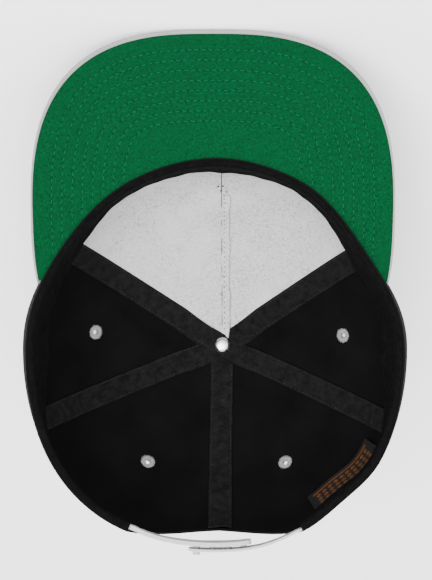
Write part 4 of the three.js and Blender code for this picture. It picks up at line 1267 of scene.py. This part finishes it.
# Needle holes of the bar tack over the fold's end: how far to the left of the seam, and how deep.
TACK_HOLES = np.array([(-1.8, 62), (-0.2, 65.5), (2.6, 66.3), (2.1, 72.7), (0.6, 61.5), (1.4, 69)])


def crown_row(azimuth, along, layer, face, pitch):
    """A row of stitches on the crown: face is 1 on its outside and -1 on its inside."""
    line = cloth_point(azimuth, along, layer)
    middles, runs, rows = spaced(line, pitch * MM)
    count = np.arange(len(line))
    normals = turned_down(crown_normal(np.interp(rows, count, azimuth), np.interp(rows, count, along)))
    return middles, runs, normals * face


black_thread = spun_thread("black_thread", grey(0.004), grey(0.02))
pale_thread = spun_thread("pale_thread", grey(0.55), grey(0.8))
inside, outside = [], []
for seam in ("front_left", "rear_left", "back", "rear_right", "front_right"):
    azimuth = math.radians(SEAMS[seam])
    start = float(panel_along(azimuth, CROWN_ROW_SPAN[0]))
    along = np.linspace(start, CROWN_ROW_SPAN[1], 200)
    rise = {"front_right": TAPE_CROSS_RISE, "rear_left": TAPE_CROSS_RISE, "back": TAPE_TUCK_RISE}.get(seam, 0)
    for offset in (TAPE_STITCH_INSET - TAPE_WIDTH / 2, TAPE_WIDTH / 2 - TAPE_STITCH_INSET):
        aside, up = tape_place(azimuth, 0, along, np.full_like(along, offset))
        layer = TAPE_LAYER + TAPE_WALL - TAPE_STITCH_SUNK
        layer = layer + rise * (1 - smooth(crown_radius(azimuth, along), *TAPE_RISING))
        inside.append(crown_row(aside, up, layer, -1, CROWN_STITCH))
        outside.append(crown_row(aside, up, np.full_like(up, CROWN_STITCH_OUT), 1, CROWN_STITCH))
around = np.linspace(arch_right + 0.01, arch_left - 0.01, 1500)
for depth in SWEATBAND_SEWN_AT:
    layer = sweatband_layer(around, np.full_like(around, depth)) + SWEATBAND_WALL - SWEATBAND_STITCH_SUNK
    inside.append(crown_row(around, along_at_depth(around, depth), layer, -1, SWEATBAND_STITCH))
for off in FRONT_ROWS_AT:
    along = np.linspace(*CROWN_ROW_SPAN, 220)
    aside = fold_seam + np.arctan2(off, crown_radius(fold_seam, along))
    outside.append(crown_row(aside, along, np.full_like(along, CROWN_STITCH_OUT), 1, CROWN_STITCH))
for name, rows, slot in (
    ("crown_stitches_inside", inside, "seam_tape"), ("crown_stitches_outside", outside, "crown_twill")
):
    middles, runs, ups = (np.concatenate(part) for part in zip(*rows))
    threads(name, middles, runs, ups, CROWN_STITCH_LENGTH, THREAD_THICKNESS, black_thread, slot)

along = np.linspace(*FOLD_ROW_SPAN, 200)
aside = fold_seam + FOLD_SEWN_AT / crown_radius(fold_seam, along)
on_fold = np.full_like(along, FOLD_LAYER + FOLD_WALL)
middles, runs, ups = crown_row(aside, along, on_fold, -1, FOLD_STITCH)
threads("front_seam_stitches", middles, runs, ups, 1.9, 0.55, pale_thread, "buckram")
between = middles + runs / np.linalg.norm(runs, axis=1, keepdims=True) * FOLD_STITCH / 2 * MM
threads("front_seam_needle_holes", between, runs, ups, 1.0, 0.65, black_thread, "buckram")
tack_along = along_at_depth(fold_seam, TACK_HOLES[:, 1])
tack_azimuth = fold_seam + TACK_HOLES[:, 0] / crown_radius(fold_seam, tack_along)
tacks = cloth_point(tack_azimuth, tack_along, FOLD_LAYER + FOLD_WALL)
tack_ups = -turned_down(crown_normal(tack_azimuth, tack_along))
tack_runs = np.cross(tack_ups, (0.3, 0.9, 0.2))
threads("bar_tack_holes", tacks, tack_runs, tack_ups, 1.2, 0.8, black_thread, "buckram")

# Studio. A plain pale floor under soft light from large panels, and a camera that looks straight into
# the cap from the side where its rim faces, as in the photograph.

CAMERA_ABOVE_RIM = 1000
CAMERA_AT = (0.4, 31.4, CAMERA_ABOVE_RIM)
FOCAL_PIXELS = 1957
FRAME_PIXELS = 580
SENSOR = 36
FLOOR_SIZE = 8
WORLD_LIGHT = 2.05
AIMED_AT = Vector((0, 0, 0.08))

deselect()
bpy.ops.mesh.primitive_plane_add(size=FLOOR_SIZE)
floor = bpy.context.object
floor.name = "floor"
pale, _, _ = blank("pale_floor", Base_Color=grey(0.96), Roughness=0.9, Specular_IOR_Level=0.1)
floor.data.materials.append(pale)

world = bpy.data.worlds.new("studio")
world.use_nodes = True
world.node_tree.nodes["Background"].inputs["Color"].default_value = grey(1)
world.node_tree.nodes["Background"].inputs["Strength"].default_value = WORLD_LIGHT
bpy.context.scene.world = world

# Columns: name, place in metres, width, and power in watts.
for name, place, width, power in (
    ("key", (-0.35, 0.8, 1.5), 1.2, 50),
    ("fill", (0.9, 0.7, 1.3), 1.4, 10),
    ("back", (-0.1, -1.1, 1.2), 1.2, 10),
):
    light = bpy.data.lights.new(name, "AREA")
    light.size = width
    light.energy = power
    lamp = bpy.data.objects.new(name, light)
    lamp.location = place
    lamp.rotation_euler = (AIMED_AT - lamp.location).to_track_quat("-Z", "Y").to_euler()
    bpy.context.scene.collection.objects.link(lamp)

camera_data = bpy.data.cameras.new("camera")
camera_data.sensor_fit = "VERTICAL"
camera_data.sensor_height = SENSOR
camera_data.lens = SENSOR * FOCAL_PIXELS / FRAME_PIXELS
camera = bpy.data.objects.new("camera", camera_data)
right, up, back = (Vector(turned_down(axis)) for axis in ((1, 0, 0), (0, 1, 0), (0, 0, 1)))
facing = Matrix((right, up, back)).transposed().to_4x4()
camera.matrix_world = Matrix.Translation(Vector(laid(CAMERA_AT))) @ facing
bpy.context.scene.collection.objects.link(camera)
bpy.context.scene.camera = camera
